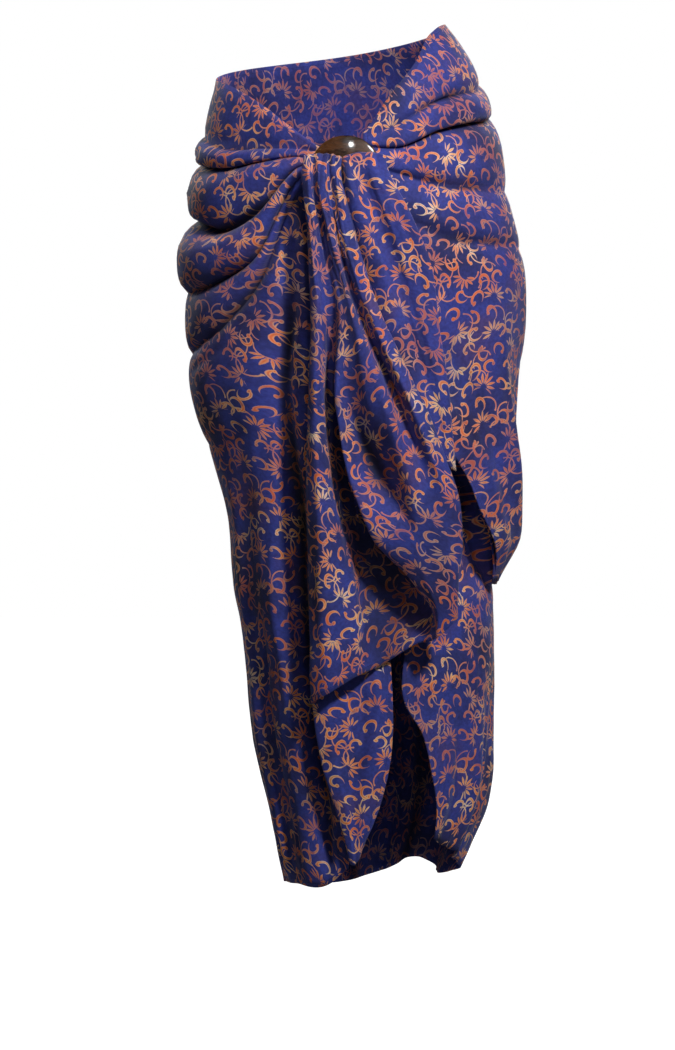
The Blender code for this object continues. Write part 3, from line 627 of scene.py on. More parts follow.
# A sheet of cloth through a grid of points: UVs on the flat cloth, a thicker rolled hem, a wall
def clothPiece(name, points, flat, paintedShadeMask, outward, thickness, materials):
    rows, cols = points.shape[:2]
    index = np.arange(rows * cols).reshape(rows, cols)
    quads = np.stack([index[:-1, :-1], index[1:, :-1], index[1:, 1:], index[:-1, 1:]], -1)
    normal = gridNormals(points)[rows // 2, cols // 2]
    if np.dot(normal, outward) > 0:
        quads = quads[..., ::-1]
    mesh = bpy.data.meshes.new(name)
    mesh.from_pydata((points.reshape(-1, 3) * mm).tolist(), [], quads.reshape(-1, 4).tolist())
    loops = np.zeros(len(mesh.loops), np.int64)
    mesh.loops.foreach_get("vertex_index", loops)
    cloth = mesh.uv_layers.new(name="cloth")
    cloth.data.foreach_set("uv", flat.reshape(-1, 2)[loops].ravel())
    down = np.cumsum(np.linalg.norm(np.diff(points, axis=0, prepend=points[:1]), axis=-1), axis=0)
    across = np.cumsum(np.linalg.norm(np.diff(points, axis=1, prepend=points[:, :1]), axis=-1), axis=1)
    edge = np.minimum.reduce([down, down[-1:] - down, across, across[:, -1:] - across])
    # edge holds the distance to the nearest edge; fold holds the mask for the shade painted into the folds
    for label, values in (("edge", edge * mm), ("fold", paintedShadeMask)):
        attribute = mesh.attributes.new(label, "FLOAT", "POINT")
        attribute.data.foreach_set("value", values.ravel().astype(np.float32))
    piece = bpy.data.objects.new(name, mesh)
    bpy.context.scene.collection.objects.link(piece)
    hem = piece.vertex_groups.new(name="hem")
    weights = np.where(edge < hemWidth, 1.0, 0.5).ravel()
    for weight in (0.5, 1.0):
        hem.add([int(k) for k in np.flatnonzero(weights == weight)], weight, "REPLACE")
    wall = piece.modifiers.new("wall", "SOLIDIFY")
    wall.thickness = thickness * 2 * mm
    wall.offset = 0
    wall.vertex_group = "hem"
    wall.material_offset = 1
    for material in materials:
        mesh.materials.append(material)
    bpy.ops.object.select_all(action="DESELECT")
    bpy.context.view_layer.objects.active = piece
    piece.select_set(True)
    bpy.ops.object.modifier_apply(modifier="wall")
    mesh.polygons.foreach_set("use_smooth", [True] * len(mesh.polygons))
    piece.select_set(False)
    return piece


# The buckle: a domed disc of coconut shell with two holes, leaning back at its top
buckle = {
    "radius": 38.0,
    "rise": 5.0,
    "wall": 4.0,
    "centre": (9.0, -124.0, -124.0),
    "lean": 5.0,
    "holeRadius": 10.0,
    "holeOffset": 16.5,
    "sides": 96,
    "rings": 9,
    "rimBevel": 1.2,
    "holeBevel": 0.9,
}
gathers = {
    "radius": 8.6,
    "lobes": 9,
    "depth": 1.1,
    "sides": 144,
    "reach": {-1: (-12.6, 9.5), 1: (-14.5, 11.9)},
    "rings": [(0.0, 0.84), (0.3, 0.92), (0.5, 0.95), (0.7, 1.0), (0.85, 1.0), (1.0, 0.86)],
    "twist": 0.5,
    # How much cloth the pleats take up round and along the bundle, in shares of the round and in mm
    "flatRound": 1.6,
    "flatLength": 24,
}


def holeCentre(side):
    offset = [side * buckle["holeOffset"], -buckle["rise"] * 0.8, 0]
    return np.array(buckle["centre"]) + offset


def makeBuckle(material):
    bpy.ops.mesh.primitive_cylinder_add(
        vertices=buckle["sides"], radius=buckle["radius"] * mm, depth=buckle["wall"] * mm
    )
    disc = bpy.context.object
    disc.name = "buckleShell"
    bpy.ops.object.mode_set(mode="EDIT")
    bpy.ops.mesh.select_mode(type="FACE")
    ringStep = buckle["radius"] / (buckle["rings"] + 1)
    for side in (1, -1):
        bpy.ops.mesh.select_all(action="DESELECT")
        shape = bmesh.from_edit_mesh(disc.data)
        for face in shape.faces:
            face.select = face.normal.z * side > 0.9 and len(face.verts) > 4
        bmesh.update_edit_mesh(disc.data)
        for ring in range(buckle["rings"]):
            outer, inner = 1 - ring / (buckle["rings"] + 1), 1 - (ring + 1) / (buckle["rings"] + 1)
            bpy.ops.mesh.inset(thickness=ringStep * mm, depth=0)
            lift = buckle["rise"] * (outer**2 - inner**2)
            bpy.ops.transform.translate(value=(0, 0, lift * mm))
        bpy.ops.mesh.poke()
    # ease the rim
    bpy.ops.mesh.select_mode(type="EDGE")
    bpy.ops.mesh.select_all(action="DESELECT")
    shape = bmesh.from_edit_mesh(disc.data)
    for edge in shape.edges:
        ends = [math.hypot(v.co.x, v.co.y) for v in edge.verts]
        level = abs(edge.verts[0].co.z - edge.verts[1].co.z) < 1e-6
        edge.select = min(ends) > (buckle["radius"] - 0.5) * mm and level
    bmesh.update_edit_mesh(disc.data)
    bpy.ops.mesh.bevel(offset=buckle["rimBevel"] * mm, segments=4, affect="EDGES")
    bpy.ops.object.mode_set(mode="OBJECT")
    # the two holes, with worn edges
    for side in (-1, 1):
        bpy.ops.mesh.primitive_cylinder_add(
            vertices=64, radius=buckle["holeRadius"] * mm, depth=0.04,
            location=(side * buckle["holeOffset"] * mm, 0, 0),
        )
        cutter = bpy.context.object
        cut = disc.modifiers.new("hole", "BOOLEAN")
        cut.operation = "DIFFERENCE"
        cut.object = cutter
        bpy.context.view_layer.objects.active = disc
        bpy.ops.object.modifier_apply(modifier="hole")
        bpy.data.objects.remove(cutter)
    bevel = disc.modifiers.new("wornEdges", "BEVEL")
    bevel.width = buckle["holeBevel"] * mm
    bevel.segments = 3
    bevel.angle_limit = math.radians(50)
    bpy.ops.object.modifier_apply(modifier="wornEdges")
    disc.rotation_euler = (math.radians(90 - buckle["lean"]), 0, 0)
    disc.location = [value * mm for value in seen(buckle["centre"])]
    bpy.ops.object.select_all(action="DESELECT")
    disc.select_set(True)
    bpy.ops.object.transform_apply(location=True, rotation=True, scale=True)
    bpy.ops.object.shade_smooth_by_angle(angle=math.radians(35))
    disc.select_set(False)
    disc.data.materials.clear()
    disc.data.materials.append(material)
    return disc


# The cloth drawn through one hole: a pleated bundle, from the wrap behind to the fall in front
def makeGather(name, side, material):
    sides = gathers["sides"]
    centre = seen(holeCentre(side))
    lean = math.radians(buckle["lean"])
    out = np.array([0, -math.cos(lean), math.sin(lean)])
    up = np.array([0, math.sin(lean), math.cos(lean)])
    start, end = gathers["reach"][side]
    turn = 2 * np.pi * np.arange(sides) / sides
    circle = np.outer(np.cos(turn), [1, 0, 0]) + np.outer(np.sin(turn), up)
    rings = []
    for share, size in gathers["rings"]:
        phase = turn + gathers["twist"] * share
        pleat = np.cos(gathers["lobes"] * phase) + 0.5 * np.cos((gathers["lobes"] * 2 - 3) * phase + 1)
        radius = size * (gathers["radius"] + gathers["depth"] * 0.66 * pleat)
        place = centre + out * (start + (end - start) * share)
        rings.append(place + radius[:, None] * circle)
    points = np.array(rings)
    count = len(rings)
    mesh = bpy.data.meshes.new(name)
    faces = []
    for ring in range(count - 1):
        for k in range(sides):
            after = (k + 1) % sides
            faces.append((ring * sides + k, ring * sides + after, (ring + 1) * sides + after,
                          (ring + 1) * sides + k))
    faces.append(tuple(range(sides))[::-1])
    faces.append(tuple(range((count - 1) * sides, count * sides)))
    mesh.from_pydata((points.reshape(-1, 3) * mm).tolist(), [], faces)
    shape = bmesh.new()
    shape.from_mesh(mesh)
    bmesh.ops.recalc_face_normals(shape, faces=shape.faces)
    shape.to_mesh(mesh)
    shape.free()
    loops = np.zeros(len(mesh.loops), np.int64)
    mesh.loops.foreach_get("vertex_index", loops)
    flat = np.stack([np.tile(turn * gathers["radius"] * gathers["flatRound"], count),
                     np.repeat(np.linspace(0, gathers["flatLength"], count), sides)], -1) * mm
    cloth = mesh.uv_layers.new(name="cloth")
    cloth.data.foreach_set("uv", flat[loops].ravel())
    mesh.attributes.new("edge", "FLOAT", "POINT").data.foreach_set("value", [0.1] * len(mesh.vertices))
    mesh.materials.append(material)
    mesh.polygons.foreach_set("use_smooth", [True] * len(mesh.polygons))
    piece = bpy.data.objects.new(name, mesh)
    bpy.context.scene.collection.objects.link(piece)
    return piece


# The batik print: a small repeat, charted in mm, turned in degrees
batik = {
    "tile": (128.0, 118.0),
    "chartScale": 0.82,
    "warp": (9.0, 7.0),
    # curled hooks with a bulb at the inner end: x, y, turn, size, mirrored, where the curl starts
    "hooks": [
        (42, 9, 30, 8.6, 1, 0.28), (63, 17, 205, 7.6, -1, 0.36), (118, 17, 120, 8.4, 1, 0.25),
        (9, 40, 250, 8.2, -1, 0.30), (33, 34, 95, 9.0, 1, 0.24), (86, 37, -25, 8.2, -1, 0.32),
        (108, 39, 65, 7.4, 1, 0.40), (25, 58, 160, 8.4, -1, 0.30), (47, 63, 10, 7.8, 1, 0.34),
        (76, 61, 235, 8.8, 1, 0.26), (126, 60, -50, 8.2, -1, 0.30), (41, 85, 190, 8.6, -1, 0.28),
        (90, 85, 80, 8.2, 1, 0.34), (113, 89, 15, 8.8, -1, 0.26), (20, 109, 60, 8.0, 1, 0.34),
        (45, 107, 140, 7.8, 1, 0.38), (72, 110, -10, 8.4, -1, 0.26), (97, 106, 225, 7.8, 1, 0.34),
        (2, 88, 110, 7.4, 1, 0.40),
    ],
    # thin stems that join them: x, y, turn, size, mirrored, where the arc starts
    "stems": [
        (29, 21, 20, 13, 1, 0.50), (52, 27, 150, 14, -1, 0.52), (79, 25, 250, 15, 1, 0.48),
        (103, 26, 80, 13, 1, 0.52), (20, 47, -40, 13, -1, 0.50), (50, 50, 200, 15, 1, 0.50),
        (92, 50, 120, 14, -1, 0.50), (119, 74, 30, 14, 1, 0.48), (30, 72, 230, 15, 1, 0.50),
        (56, 76, -70, 13, -1, 0.52), (80, 75, 160, 13, 1, 0.52), (8, 102, 10, 14, -1, 0.50),
        (60, 100, 100, 14, 1, 0.50), (108, 99, -100, 14, -1, 0.48),
    ],
    # fan flowers: x, y, turn, petal length, half spread in degrees
    "fans": [
        (16, 13, 15, 14.5, 118), (92, 11, -70, 14.0, 112), (60, 41, 190, 14.5, 105),
        (104, 62, 70, 14.0, 122), (14, 83, -30, 14.5, 110), (66, 88, 125, 14.0, 118),
    ],
    "hookSize": 1.12,
    "hookSweep": -0.05,
    "curlRadius": 0.28,
    "curlOpening": 1.0,
    "curlWidest": 0.56,
    "hookShapes": [(0.74, 1.12), (0.95, 0.95), (0.68, 1.2), (0.84, 1.0), (1.0, 0.82)],
    "fineWarp": (48.0, 1.7),
    "fanSize": 1.18,
    "strokeWidth": 0.24,
    "bulb": 0.30,
    "stemWidth": 0.062,
    "stemBulb": 0.09,
    "tapers": {"hooks": 5.2, "stems": 1.5},
    "petals": 8,
    "petalTurn": 236,
    "petalWidth": 0.100,
    "ground": [
        (0.30, (0.013, 0.013, 0.075)), (0.44, (0.022, 0.028, 0.165)), (0.55, (0.028, 0.042, 0.265)),
        (0.70, (0.058, 0.038, 0.170)),
    ],
    "dye": [(0.30, (0.44, 0.105, 0.075)), (0.42, (0.68, 0.190, 0.085)), (0.52, (0.82, 0.330, 0.130)),
            (0.62, (0.86, 0.560, 0.270)), (0.72, (0.90, 0.780, 0.570))],
    "core": (0.72, 0.115, 0.020),
    "outline": (0.58, 0.31, 0.29),
    "mauve": (0.27, 0.095, 0.16),
    "stitch": (0.012, 0.012, 0.05),
    "stitchInset": 0.005,
    "stitchesPerMetre": 330,
    "threads": 1500.0,
    # how dark the shade painted into the folds gets, from 0 to 1
    "foldShade": 0.85,
    # Noise scales to the metre: grain of the print, worn patches, fading, warmth, ground, mottle
    "noise": {"grain": 700, "patch": 70, "fade": 8.5, "warmth": 21, "ground": 11, "mottle": 260},
}


def newTree(name, inputs, outputs):
    tree = bpy.data.node_groups.new(name, "ShaderNodeTree")
    for label, kind, value in inputs:
        socket = tree.interface.new_socket(label, in_out="INPUT", socket_type=kind)
        if value is not None:
            socket.default_value = value
    for label, kind in outputs:
        tree.interface.new_socket(label, in_out="OUTPUT", socket_type=kind)
    return tree, tree.nodes.new("NodeGroupInput"), tree.nodes.new("NodeGroupOutput")


def wire(tree, socket, value):
    if isinstance(value, bpy.types.NodeSocket):
        tree.links.new(value, socket)
    elif value is not None:
        socket.default_value = value


def calc(tree, operation, *values):
    node = tree.nodes.new("ShaderNodeMath")
    node.operation = operation
    for socket, value in zip(node.inputs, values):
        wire(tree, socket, value)
    return node.outputs[0]


def vectorCalc(tree, operation, *values):
    node = tree.nodes.new("ShaderNodeVectorMath")
    node.operation = operation
    for socket, value in zip(node.inputs, values):
        wire(tree, socket, value)
    return node.outputs["Value" if operation in ("LENGTH", "DISTANCE") else "Vector"]


def remap(tree, value, low, high, toLow=0.0, toHigh=1.0, smooth=True):
    node = tree.nodes.new("ShaderNodeMapRange")
    node.interpolation_type = "SMOOTHSTEP" if smooth else "LINEAR"
    for label, number in (("Value", value), ("From Min", low), ("From Max", high), ("To Min", toLow),
                          ("To Max", toHigh)):
        wire(tree, node.inputs[label], number)
    return node.outputs["Result"]


def blend(tree, share, first, second, mode="MIX"):
    node = tree.nodes.new("ShaderNodeMix")
    node.data_type = "RGBA"
    node.blend_type = mode
    wire(tree, node.inputs[0], share)
    for socket, value in ((node.inputs[6], first), (node.inputs[7], second)):
        wire(tree, socket, (*value, 1) if isinstance(value, tuple) and len(value) == 3 else value)
    return node.outputs[2]


def noiseField(tree, vector, scale, detail=2.0, rough=0.5, distortion=0.0):
    node = tree.nodes.new("ShaderNodeTexNoise")
    wire(tree, node.inputs["Vector"], vector)
    for label, number in (("Scale", scale), ("Detail", detail), ("Roughness", rough),
                          ("Distortion", distortion)):
        node.inputs[label].default_value = number
    return node


def ramp(tree, value, stops):
    node = tree.nodes.new("ShaderNodeValToRGB")
    wire(tree, node.inputs[0], value)
    elements = node.color_ramp.elements
    while len(elements) < len(stops):
        elements.new(0.5)
    for element, (place, colour) in zip(elements, stops):
        element.position = place
        element.color = (*colour, 1)
    return node.outputs["Color"]


# The point from a motif's own centre, wrapped round the repeat, turned and scaled
def motifPlace(tree, start):
    width, height = batik["tile"]
    offset = vectorCalc(tree, "SUBTRACT", start.outputs["Point"], start.outputs["Centre"])
    offset = vectorCalc(tree, "WRAP", offset, (width / 2, height / 2, 1), (-width / 2, -height / 2, -1))
    turn = tree.nodes.new("ShaderNodeVectorRotate")
    turn.rotation_type = "Z_AXIS"
    wire(tree, turn.inputs["Vector"], offset)
    wire(tree, turn.inputs["Angle"], start.outputs["Turn"])
    return vectorCalc(tree, "MULTIPLY", turn.outputs[0], start.outputs["Scale"])


def curlStroke():
    tree, start, end = newTree(
        "curlStroke",
        [("Point", "NodeSocketVector", None), ("Centre", "NodeSocketVector", None),
         ("Turn", "NodeSocketFloat", 0.0), ("Scale", "NodeSocketVector", (1, 1, 1)),
         ("Size", "NodeSocketFloat", 8.0), ("Start", "NodeSocketFloat", 0.3),
         ("Bulb", "NodeSocketVector", None), ("Bulb Size", "NodeSocketFloat", 0.3),
         ("Width", "NodeSocketFloat", 0.2), ("Taper", "NodeSocketFloat", 0.7)],
        [("Depth", "NodeSocketFloat")],
    )
    place = motifPlace(tree, start)
    parts = tree.nodes.new("ShaderNodeSeparateXYZ")
    wire(tree, parts.inputs[0], place)
    angle = calc(tree, "ARCTAN2", parts.outputs[1], parts.outputs[0])
    share = calc(tree, "MULTIPLY_ADD", angle, 1 / (2 * math.pi), 0.5)
    ring = calc(tree, "MULTIPLY_ADD", share, batik["curlOpening"], batik["curlRadius"])
    gap = calc(tree, "ABSOLUTE", calc(tree, "SUBTRACT", vectorCalc(tree, "LENGTH", place), ring))
    off = calc(tree, "SUBTRACT", share, batik["curlWidest"])
    off = calc(tree, "MULTIPLY", off, off)
    left = calc(tree, "MULTIPLY_ADD", off, calc(tree, "MULTIPLY", start.outputs["Taper"], -1.0), 1.0)
    stroke = calc(tree, "SUBTRACT", calc(tree, "MULTIPLY", left, start.outputs["Width"]), gap)
    begun = calc(tree, "MULTIPLY", calc(tree, "SUBTRACT", share, start.outputs["Start"]), 3.0)
    stroke = calc(tree, "MINIMUM", stroke, begun)
    bulb = vectorCalc(tree, "DISTANCE", place, start.outputs["Bulb"])
    bulb = calc(tree, "SUBTRACT", start.outputs["Bulb Size"], bulb)
    both = calc(tree, "MAXIMUM", stroke, bulb)
    wire(tree, end.inputs["Depth"], calc(tree, "MULTIPLY", both, start.outputs["Size"]))
    return tree


def fanFlower():
    tree, start, end = newTree(
        "fanFlower",
        [("Point", "NodeSocketVector", None), ("Centre", "NodeSocketVector", None),
         ("Turn", "NodeSocketFloat", 0.0), ("Scale", "NodeSocketVector", (1, 1, 1)),
         ("Size", "NodeSocketFloat", 14.0), ("Spread", "NodeSocketFloat", 2.0)],
        [("Depth", "NodeSocketFloat")],
    )
    place = motifPlace(tree, start)
    parts = tree.nodes.new("ShaderNodeSeparateXYZ")
    wire(tree, parts.inputs[0], place)
    angle = calc(tree, "ARCTAN2", parts.outputs[0], parts.outputs[1])
    step = math.radians(batik["petalTurn"]) / batik["petals"]
    turns = calc(tree, "PINGPONG", calc(tree, "MULTIPLY", angle, 1 / step), 0.5)
    distance = vectorCalc(tree, "LENGTH", place)
    aside = calc(tree, "MULTIPLY", calc(tree, "MULTIPLY", turns, step), distance)
    away = calc(tree, "ABSOLUTE", angle)
    reach = calc(tree, "MULTIPLY_ADD", calc(tree, "MULTIPLY", away, away), -0.02, 0.42)
    along = calc(tree, "DIVIDE", calc(tree, "SUBTRACT", distance, 0.60), reach)
    taper = calc(tree, "SUBTRACT", 1.0, calc(tree, "MULTIPLY", along, along))
    petal = calc(tree, "SUBTRACT", calc(tree, "MULTIPLY", taper, batik["petalWidth"]), aside)
    limit = calc(tree, "SUBTRACT", start.outputs["Spread"], away)
    petal = calc(tree, "MINIMUM", petal, limit)
    wire(tree, end.inputs["Depth"], calc(tree, "MULTIPLY", petal, start.outputs["Size"]))
    return tree


# The whole repeat: how deep inside a stroke each point of the cloth is, in mm
def batikChart():
    tree, start, end = newTree(
        "batikChart", [("Vector", "NodeSocketVector", None)], [("Depth", "NodeSocketFloat")]
    )
    size, reach = batik["warp"]
    field = noiseField(tree, start.outputs["Vector"], size, 1.0)
    drift = vectorCalc(tree, "SUBTRACT", field.outputs["Color"], (0.5, 0.5, 0.5))
    perMetre = 1000 / batik["chartScale"]
    point = vectorCalc(tree, "MULTIPLY_ADD", start.outputs["Vector"], (perMetre, perMetre, 0),
                       vectorCalc(tree, "MULTIPLY", drift, (reach * 2, reach * 2, 0)))
    size, reach = batik["fineWarp"]
    field = noiseField(tree, start.outputs["Vector"], size, 1.0)
    drift = vectorCalc(tree, "SUBTRACT", field.outputs["Color"], (0.5, 0.5, 0.5))
    point = vectorCalc(tree, "MULTIPLY_ADD", drift, (reach * 2, reach * 2, 0), point)
    curl, fan = curlStroke(), fanFlower()
    total = None

    def place(group, x, y, turn, size, mirror, shape=(1, 1), **more):
        nonlocal total
        node = tree.nodes.new("ShaderNodeGroup")
        node.node_tree = group
        wide, tall = shape
        values = {"Point": point, "Centre": (x, y, 0), "Turn": math.radians(-turn), "Size": size,
                  "Scale": (mirror / size / wide, 1 / size / tall, 0), **more}
        for label, value in values.items():
            wire(tree, node.inputs[label], value)
        total = node.outputs[0] if total is None else calc(tree, "MAXIMUM", total, node.outputs[0])

    for kind, width, bulb in (("hooks", batik["strokeWidth"], batik["bulb"]),
                              ("stems", batik["stemWidth"], batik["stemBulb"])):
        for k, (x, y, turn, size, mirror, begin) in enumerate(batik[kind]):
            shape = (1, 1)
            if kind == "hooks":
                size, begin = size * batik["hookSize"], begin + batik["hookSweep"]
                shape = batik["hookShapes"][k % len(batik["hookShapes"])]
            angle = 2 * math.pi * begin - math.pi
            radius = batik["curlRadius"] + batik["curlOpening"] * begin
            place(curl, x, y, turn, size, mirror, shape, **{
                "Start": begin, "Bulb": (radius * math.cos(angle), radius * math.sin(angle), 0),
                "Bulb Size": bulb, "Width": width, "Taper": batik["tapers"][kind],
            })
    for x, y, turn, size, spread in batik["fans"]:
        place(fan, x, y, turn, size * batik["fanSize"], 1, Spread=math.radians(spread))
    wire(tree, end.inputs["Depth"], total)
    return tree


# The colours on the cloth: mottled ground, brush-dyed strokes, a few faded ones, the stitching, and shade
# painted into the folds
def batikDye():
    tree, start, end = newTree(
        "batikDye",
        [("Vector", "NodeSocketVector", None), ("Depth", "NodeSocketFloat", 0.0),
         ("Edge", "NodeSocketFloat", 1.0), ("Strength", "NodeSocketFloat", 1.0),
         ("Fold", "NodeSocketFloat", 0.0), ("Fold Shade", "NodeSocketFloat", 0.8)],
        [("Color", "NodeSocketColor"), ("Print", "NodeSocketFloat")],
    )
    vector, scales = start.outputs["Vector"], batik["noise"]
    grain = noiseField(tree, vector, scales["grain"], 2.0, 0.6).outputs[0]
    grain = calc(tree, "MULTIPLY_ADD", grain, 1.1, -0.55)
    depth = calc(tree, "ADD", start.outputs["Depth"], grain)
    mask = remap(tree, depth, -0.28, 0.34)
    patch = noiseField(tree, vector, scales["patch"], 2.0, 0.6).outputs[0]
    patch = remap(tree, patch, 0.30, 0.46, 0.6, 1.0)
    faded = remap(tree, noiseField(tree, vector, scales["fade"], 1.0).outputs[0], 0.46, 0.64)
    warm = noiseField(tree, vector, scales["warmth"], 2.0, 0.55).outputs[0]
    stroke = ramp(tree, warm, batik["dye"])
    line = remap(tree, depth, 0.15, 0.75, 0.5, 0.0)
    stroke = blend(tree, line, stroke, batik["outline"])
    core = remap(tree, depth, 0.7, 1.7, 0.0, 0.75)
    stroke = blend(tree, core, stroke, batik["core"])
    stroke = blend(tree, calc(tree, "MULTIPLY", faded, 0.55), stroke, batik["mauve"])
    ground = ramp(tree, noiseField(tree, vector, scales["ground"], 3.0, 0.55).outputs[0], batik["ground"])
    mottle = noiseField(tree, vector, scales["mottle"], 2.0, 0.6).outputs[0]
    mottle = remap(tree, mottle, 0.3, 0.7, 0.82, 1.16)
    ground = blend(tree, 1.0, ground, mottle, "MULTIPLY")
    strength = calc(tree, "MULTIPLY", calc(tree, "MULTIPLY", mask, patch), start.outputs["Strength"])
    colour = blend(tree, strength, ground, stroke)
    # the hem's row of stitches, a little in from the edge
    parts = tree.nodes.new("ShaderNodeSeparateXYZ")
    wire(tree, parts.inputs[0], vector)
    gap = calc(tree, "ABSOLUTE", calc(tree, "SUBTRACT", start.outputs["Edge"], batik["stitchInset"]))
    row = remap(tree, gap, 0.0002, 0.0006, 1.0, 0.0)
    along = calc(tree, "ADD", parts.outputs[0], parts.outputs[1])
    dash = calc(tree, "FRACT", calc(tree, "MULTIPLY", along, batik["stitchesPerMetre"]))
    row = calc(tree, "MULTIPLY", row, remap(tree, dash, 0.62, 0.72, 1.0, 0.0))
    colour = blend(tree, calc(tree, "MULTIPLY", row, 0.55), colour, batik["stitch"])
    # painted shade: the colour is darkened down in the folds, as far as the fold attribute and Fold Shade
    # say
    shade = calc(tree, "MULTIPLY", start.outputs["Fold"], start.outputs["Fold Shade"])
    colour = blend(tree, 1.0, colour, calc(tree, "SUBTRACT", 1.0, shade), "MULTIPLY")
    wire(tree, end.inputs["Color"], colour)
    wire(tree, end.inputs["Print"], mask)
    return tree


# A fine plain weave with slubs, as a height for a bump
def clothWeave():
    tree, start, end = newTree(
        "clothWeave",
        [("Vector", "NodeSocketVector", None), ("Threads", "NodeSocketFloat", 1500.0),
         ("Slub", "NodeSocketFloat", 0.4)],
        [("Height", "NodeSocketFloat")],
    )
    spread = vectorCalc(tree, "SCALE", start.outputs["Vector"])
    wire(tree, tree.nodes[-1].inputs["Scale"], start.outputs["Threads"])
    parts = tree.nodes.new("ShaderNodeSeparateXYZ")
    wire(tree, parts.inputs[0], spread)
    warp = calc(tree, "SINE", calc(tree, "MULTIPLY", parts.outputs[0], math.pi))
    weft = calc(tree, "SINE", calc(tree, "MULTIPLY", parts.outputs[1], math.pi))
    weave = calc(tree, "MULTIPLY", warp, weft)
    stretched = vectorCalc(tree, "MULTIPLY", start.outputs["Vector"], (240, 2200, 1))
    slub = calc(tree, "MULTIPLY", noiseField(tree, stretched, 1.0, 1.0).outputs[0], start.outputs["Slub"])
    wire(tree, end.inputs["Height"], calc(tree, "ADD", weave, slub))
    return tree


# The cloth's two faces, and what they share
clothFinish = {
    "front": {"strength": 1.0, "roughness": 0.74, "sheen": 0.12},
    "back": {"strength": 0.5, "roughness": 0.85, "sheen": 0.08},
    "printGloss": 0.06,
    "sheenRoughness": 0.45,
    "specular": 0.35,
    "weaveStrength": 0.35,
    "weaveDepth": 0.0003,
}


def clothMaterial(name, groups, face):
    chart, dye, weave = groups
    finish = clothFinish[face]
    roughness = finish["roughness"]
    material = bpy.data.materials.new(name)
    material.use_nodes = True
    tree = material.node_tree
    shader = tree.nodes["Principled BSDF"]
    flat = tree.nodes.new("ShaderNodeUVMap")
    flat.uv_map = "cloth"
    edge, fold = (tree.nodes.new("ShaderNodeAttribute") for _ in range(2))
    edge.attribute_name, fold.attribute_name = "edge", "fold"
    placed = {}
    for group in groups:
        placed[group] = tree.nodes.new("ShaderNodeGroup")
        placed[group].node_tree = group
        wire(tree, placed[group].inputs["Vector"], flat.outputs["UV"])
    wire(tree, placed[dye].inputs["Depth"], placed[chart].outputs["Depth"])
    wire(tree, placed[dye].inputs["Edge"], edge.outputs["Fac"])
    wire(tree, placed[dye].inputs["Fold"], fold.outputs["Fac"])
    placed[dye].inputs["Fold Shade"].default_value = batik["foldShade"]
    placed[dye].inputs["Strength"].default_value = finish["strength"]
    placed[weave].inputs["Threads"].default_value = batik["threads"]
    relief = tree.nodes.new("ShaderNodeBump")
    relief.inputs["Strength"].default_value = clothFinish["weaveStrength"]
    relief.inputs["Distance"].default_value = clothFinish["weaveDepth"]
    wire(tree, relief.inputs["Height"], placed[weave].outputs["Height"])
    wire(tree, shader.inputs["Normal"], relief.outputs["Normal"])
    wire(tree, shader.inputs["Base Color"], placed[dye].outputs["Color"])
    rough = remap(tree, placed[dye].outputs["Print"], 0, 1, roughness,
                  roughness - clothFinish["printGloss"], smooth=False)
    wire(tree, shader.inputs["Roughness"], rough)
    shader.inputs["Sheen Weight"].default_value = finish["sheen"]
    shader.inputs["Sheen Roughness"].default_value = clothFinish["sheenRoughness"]
    shader.inputs["Specular IOR Level"].default_value = clothFinish["specular"]
    return material


# Polished coconut shell
shellFinish = {
    "dark": (0.014, 0.006, 0.003),
    "brown": (0.078, 0.029, 0.010),
    "fleck": (0.30, 0.18, 0.08),
    "roughness": 0.25,
    "coat": 0.2,
    "coatRoughness": 0.08,
    "specular": 0.08,
    "reliefStrength": 0.25,
    "reliefDepth": 0.0004,
}


def shellMaterial():
    material = bpy.data.materials.new("coconutShell")
    material.use_nodes = True
    tree = material.node_tree
    shader = tree.nodes["Principled BSDF"]
    place = tree.nodes.new("ShaderNodeTexCoord")
    spread = vectorCalc(tree, "MULTIPLY", place.outputs["Object"], (1.0, 0.5, 2.6))
    clouds = noiseField(tree, spread, 55, 4.0, 0.6, 0.6).outputs[0]
    base = ramp(tree, clouds, [(0.35, shellFinish["dark"]), (0.62, shellFinish["brown"])])
    strands = vectorCalc(tree, "MULTIPLY", place.outputs["Object"], (210, 210, 900))
    fleck = noiseField(tree, strands, 1.0, 2.0, 0.7, 0.4).outputs[0]
    base = blend(tree, remap(tree, fleck, 0.68, 0.76, 0, 0.7), base, shellFinish["fleck"])
    wire(tree, shader.inputs["Base Color"], base)
    rough = remap(tree, fleck, 0.3, 0.75, shellFinish["roughness"] - 0.06, shellFinish["roughness"] + 0.2)
    wire(tree, shader.inputs["Roughness"], rough)
    shader.inputs["Coat Weight"].default_value = shellFinish["coat"]
    shader.inputs["Coat Roughness"].default_value = shellFinish["coatRoughness"]
    shader.inputs["Specular IOR Level"].default_value = shellFinish["specular"]
    relief = tree.nodes.new("ShaderNodeBump")
    relief.inputs["Strength"].default_value = shellFinish["reliefStrength"]
    relief.inputs["Distance"].default_value = shellFinish["reliefDepth"]
    wire(tree, relief.inputs["Height"], fleck)
    wire(tree, shader.inputs["Normal"], relief.outputs["Normal"])
    return material


groups = (batikChart(), batikDye(), clothWeave())
batikFront = clothMaterial("batikCloth", groups, "front")
batikBack = clothMaterial("batikReverse", groups, "back")
coconut = shellMaterial()
print("materials made")

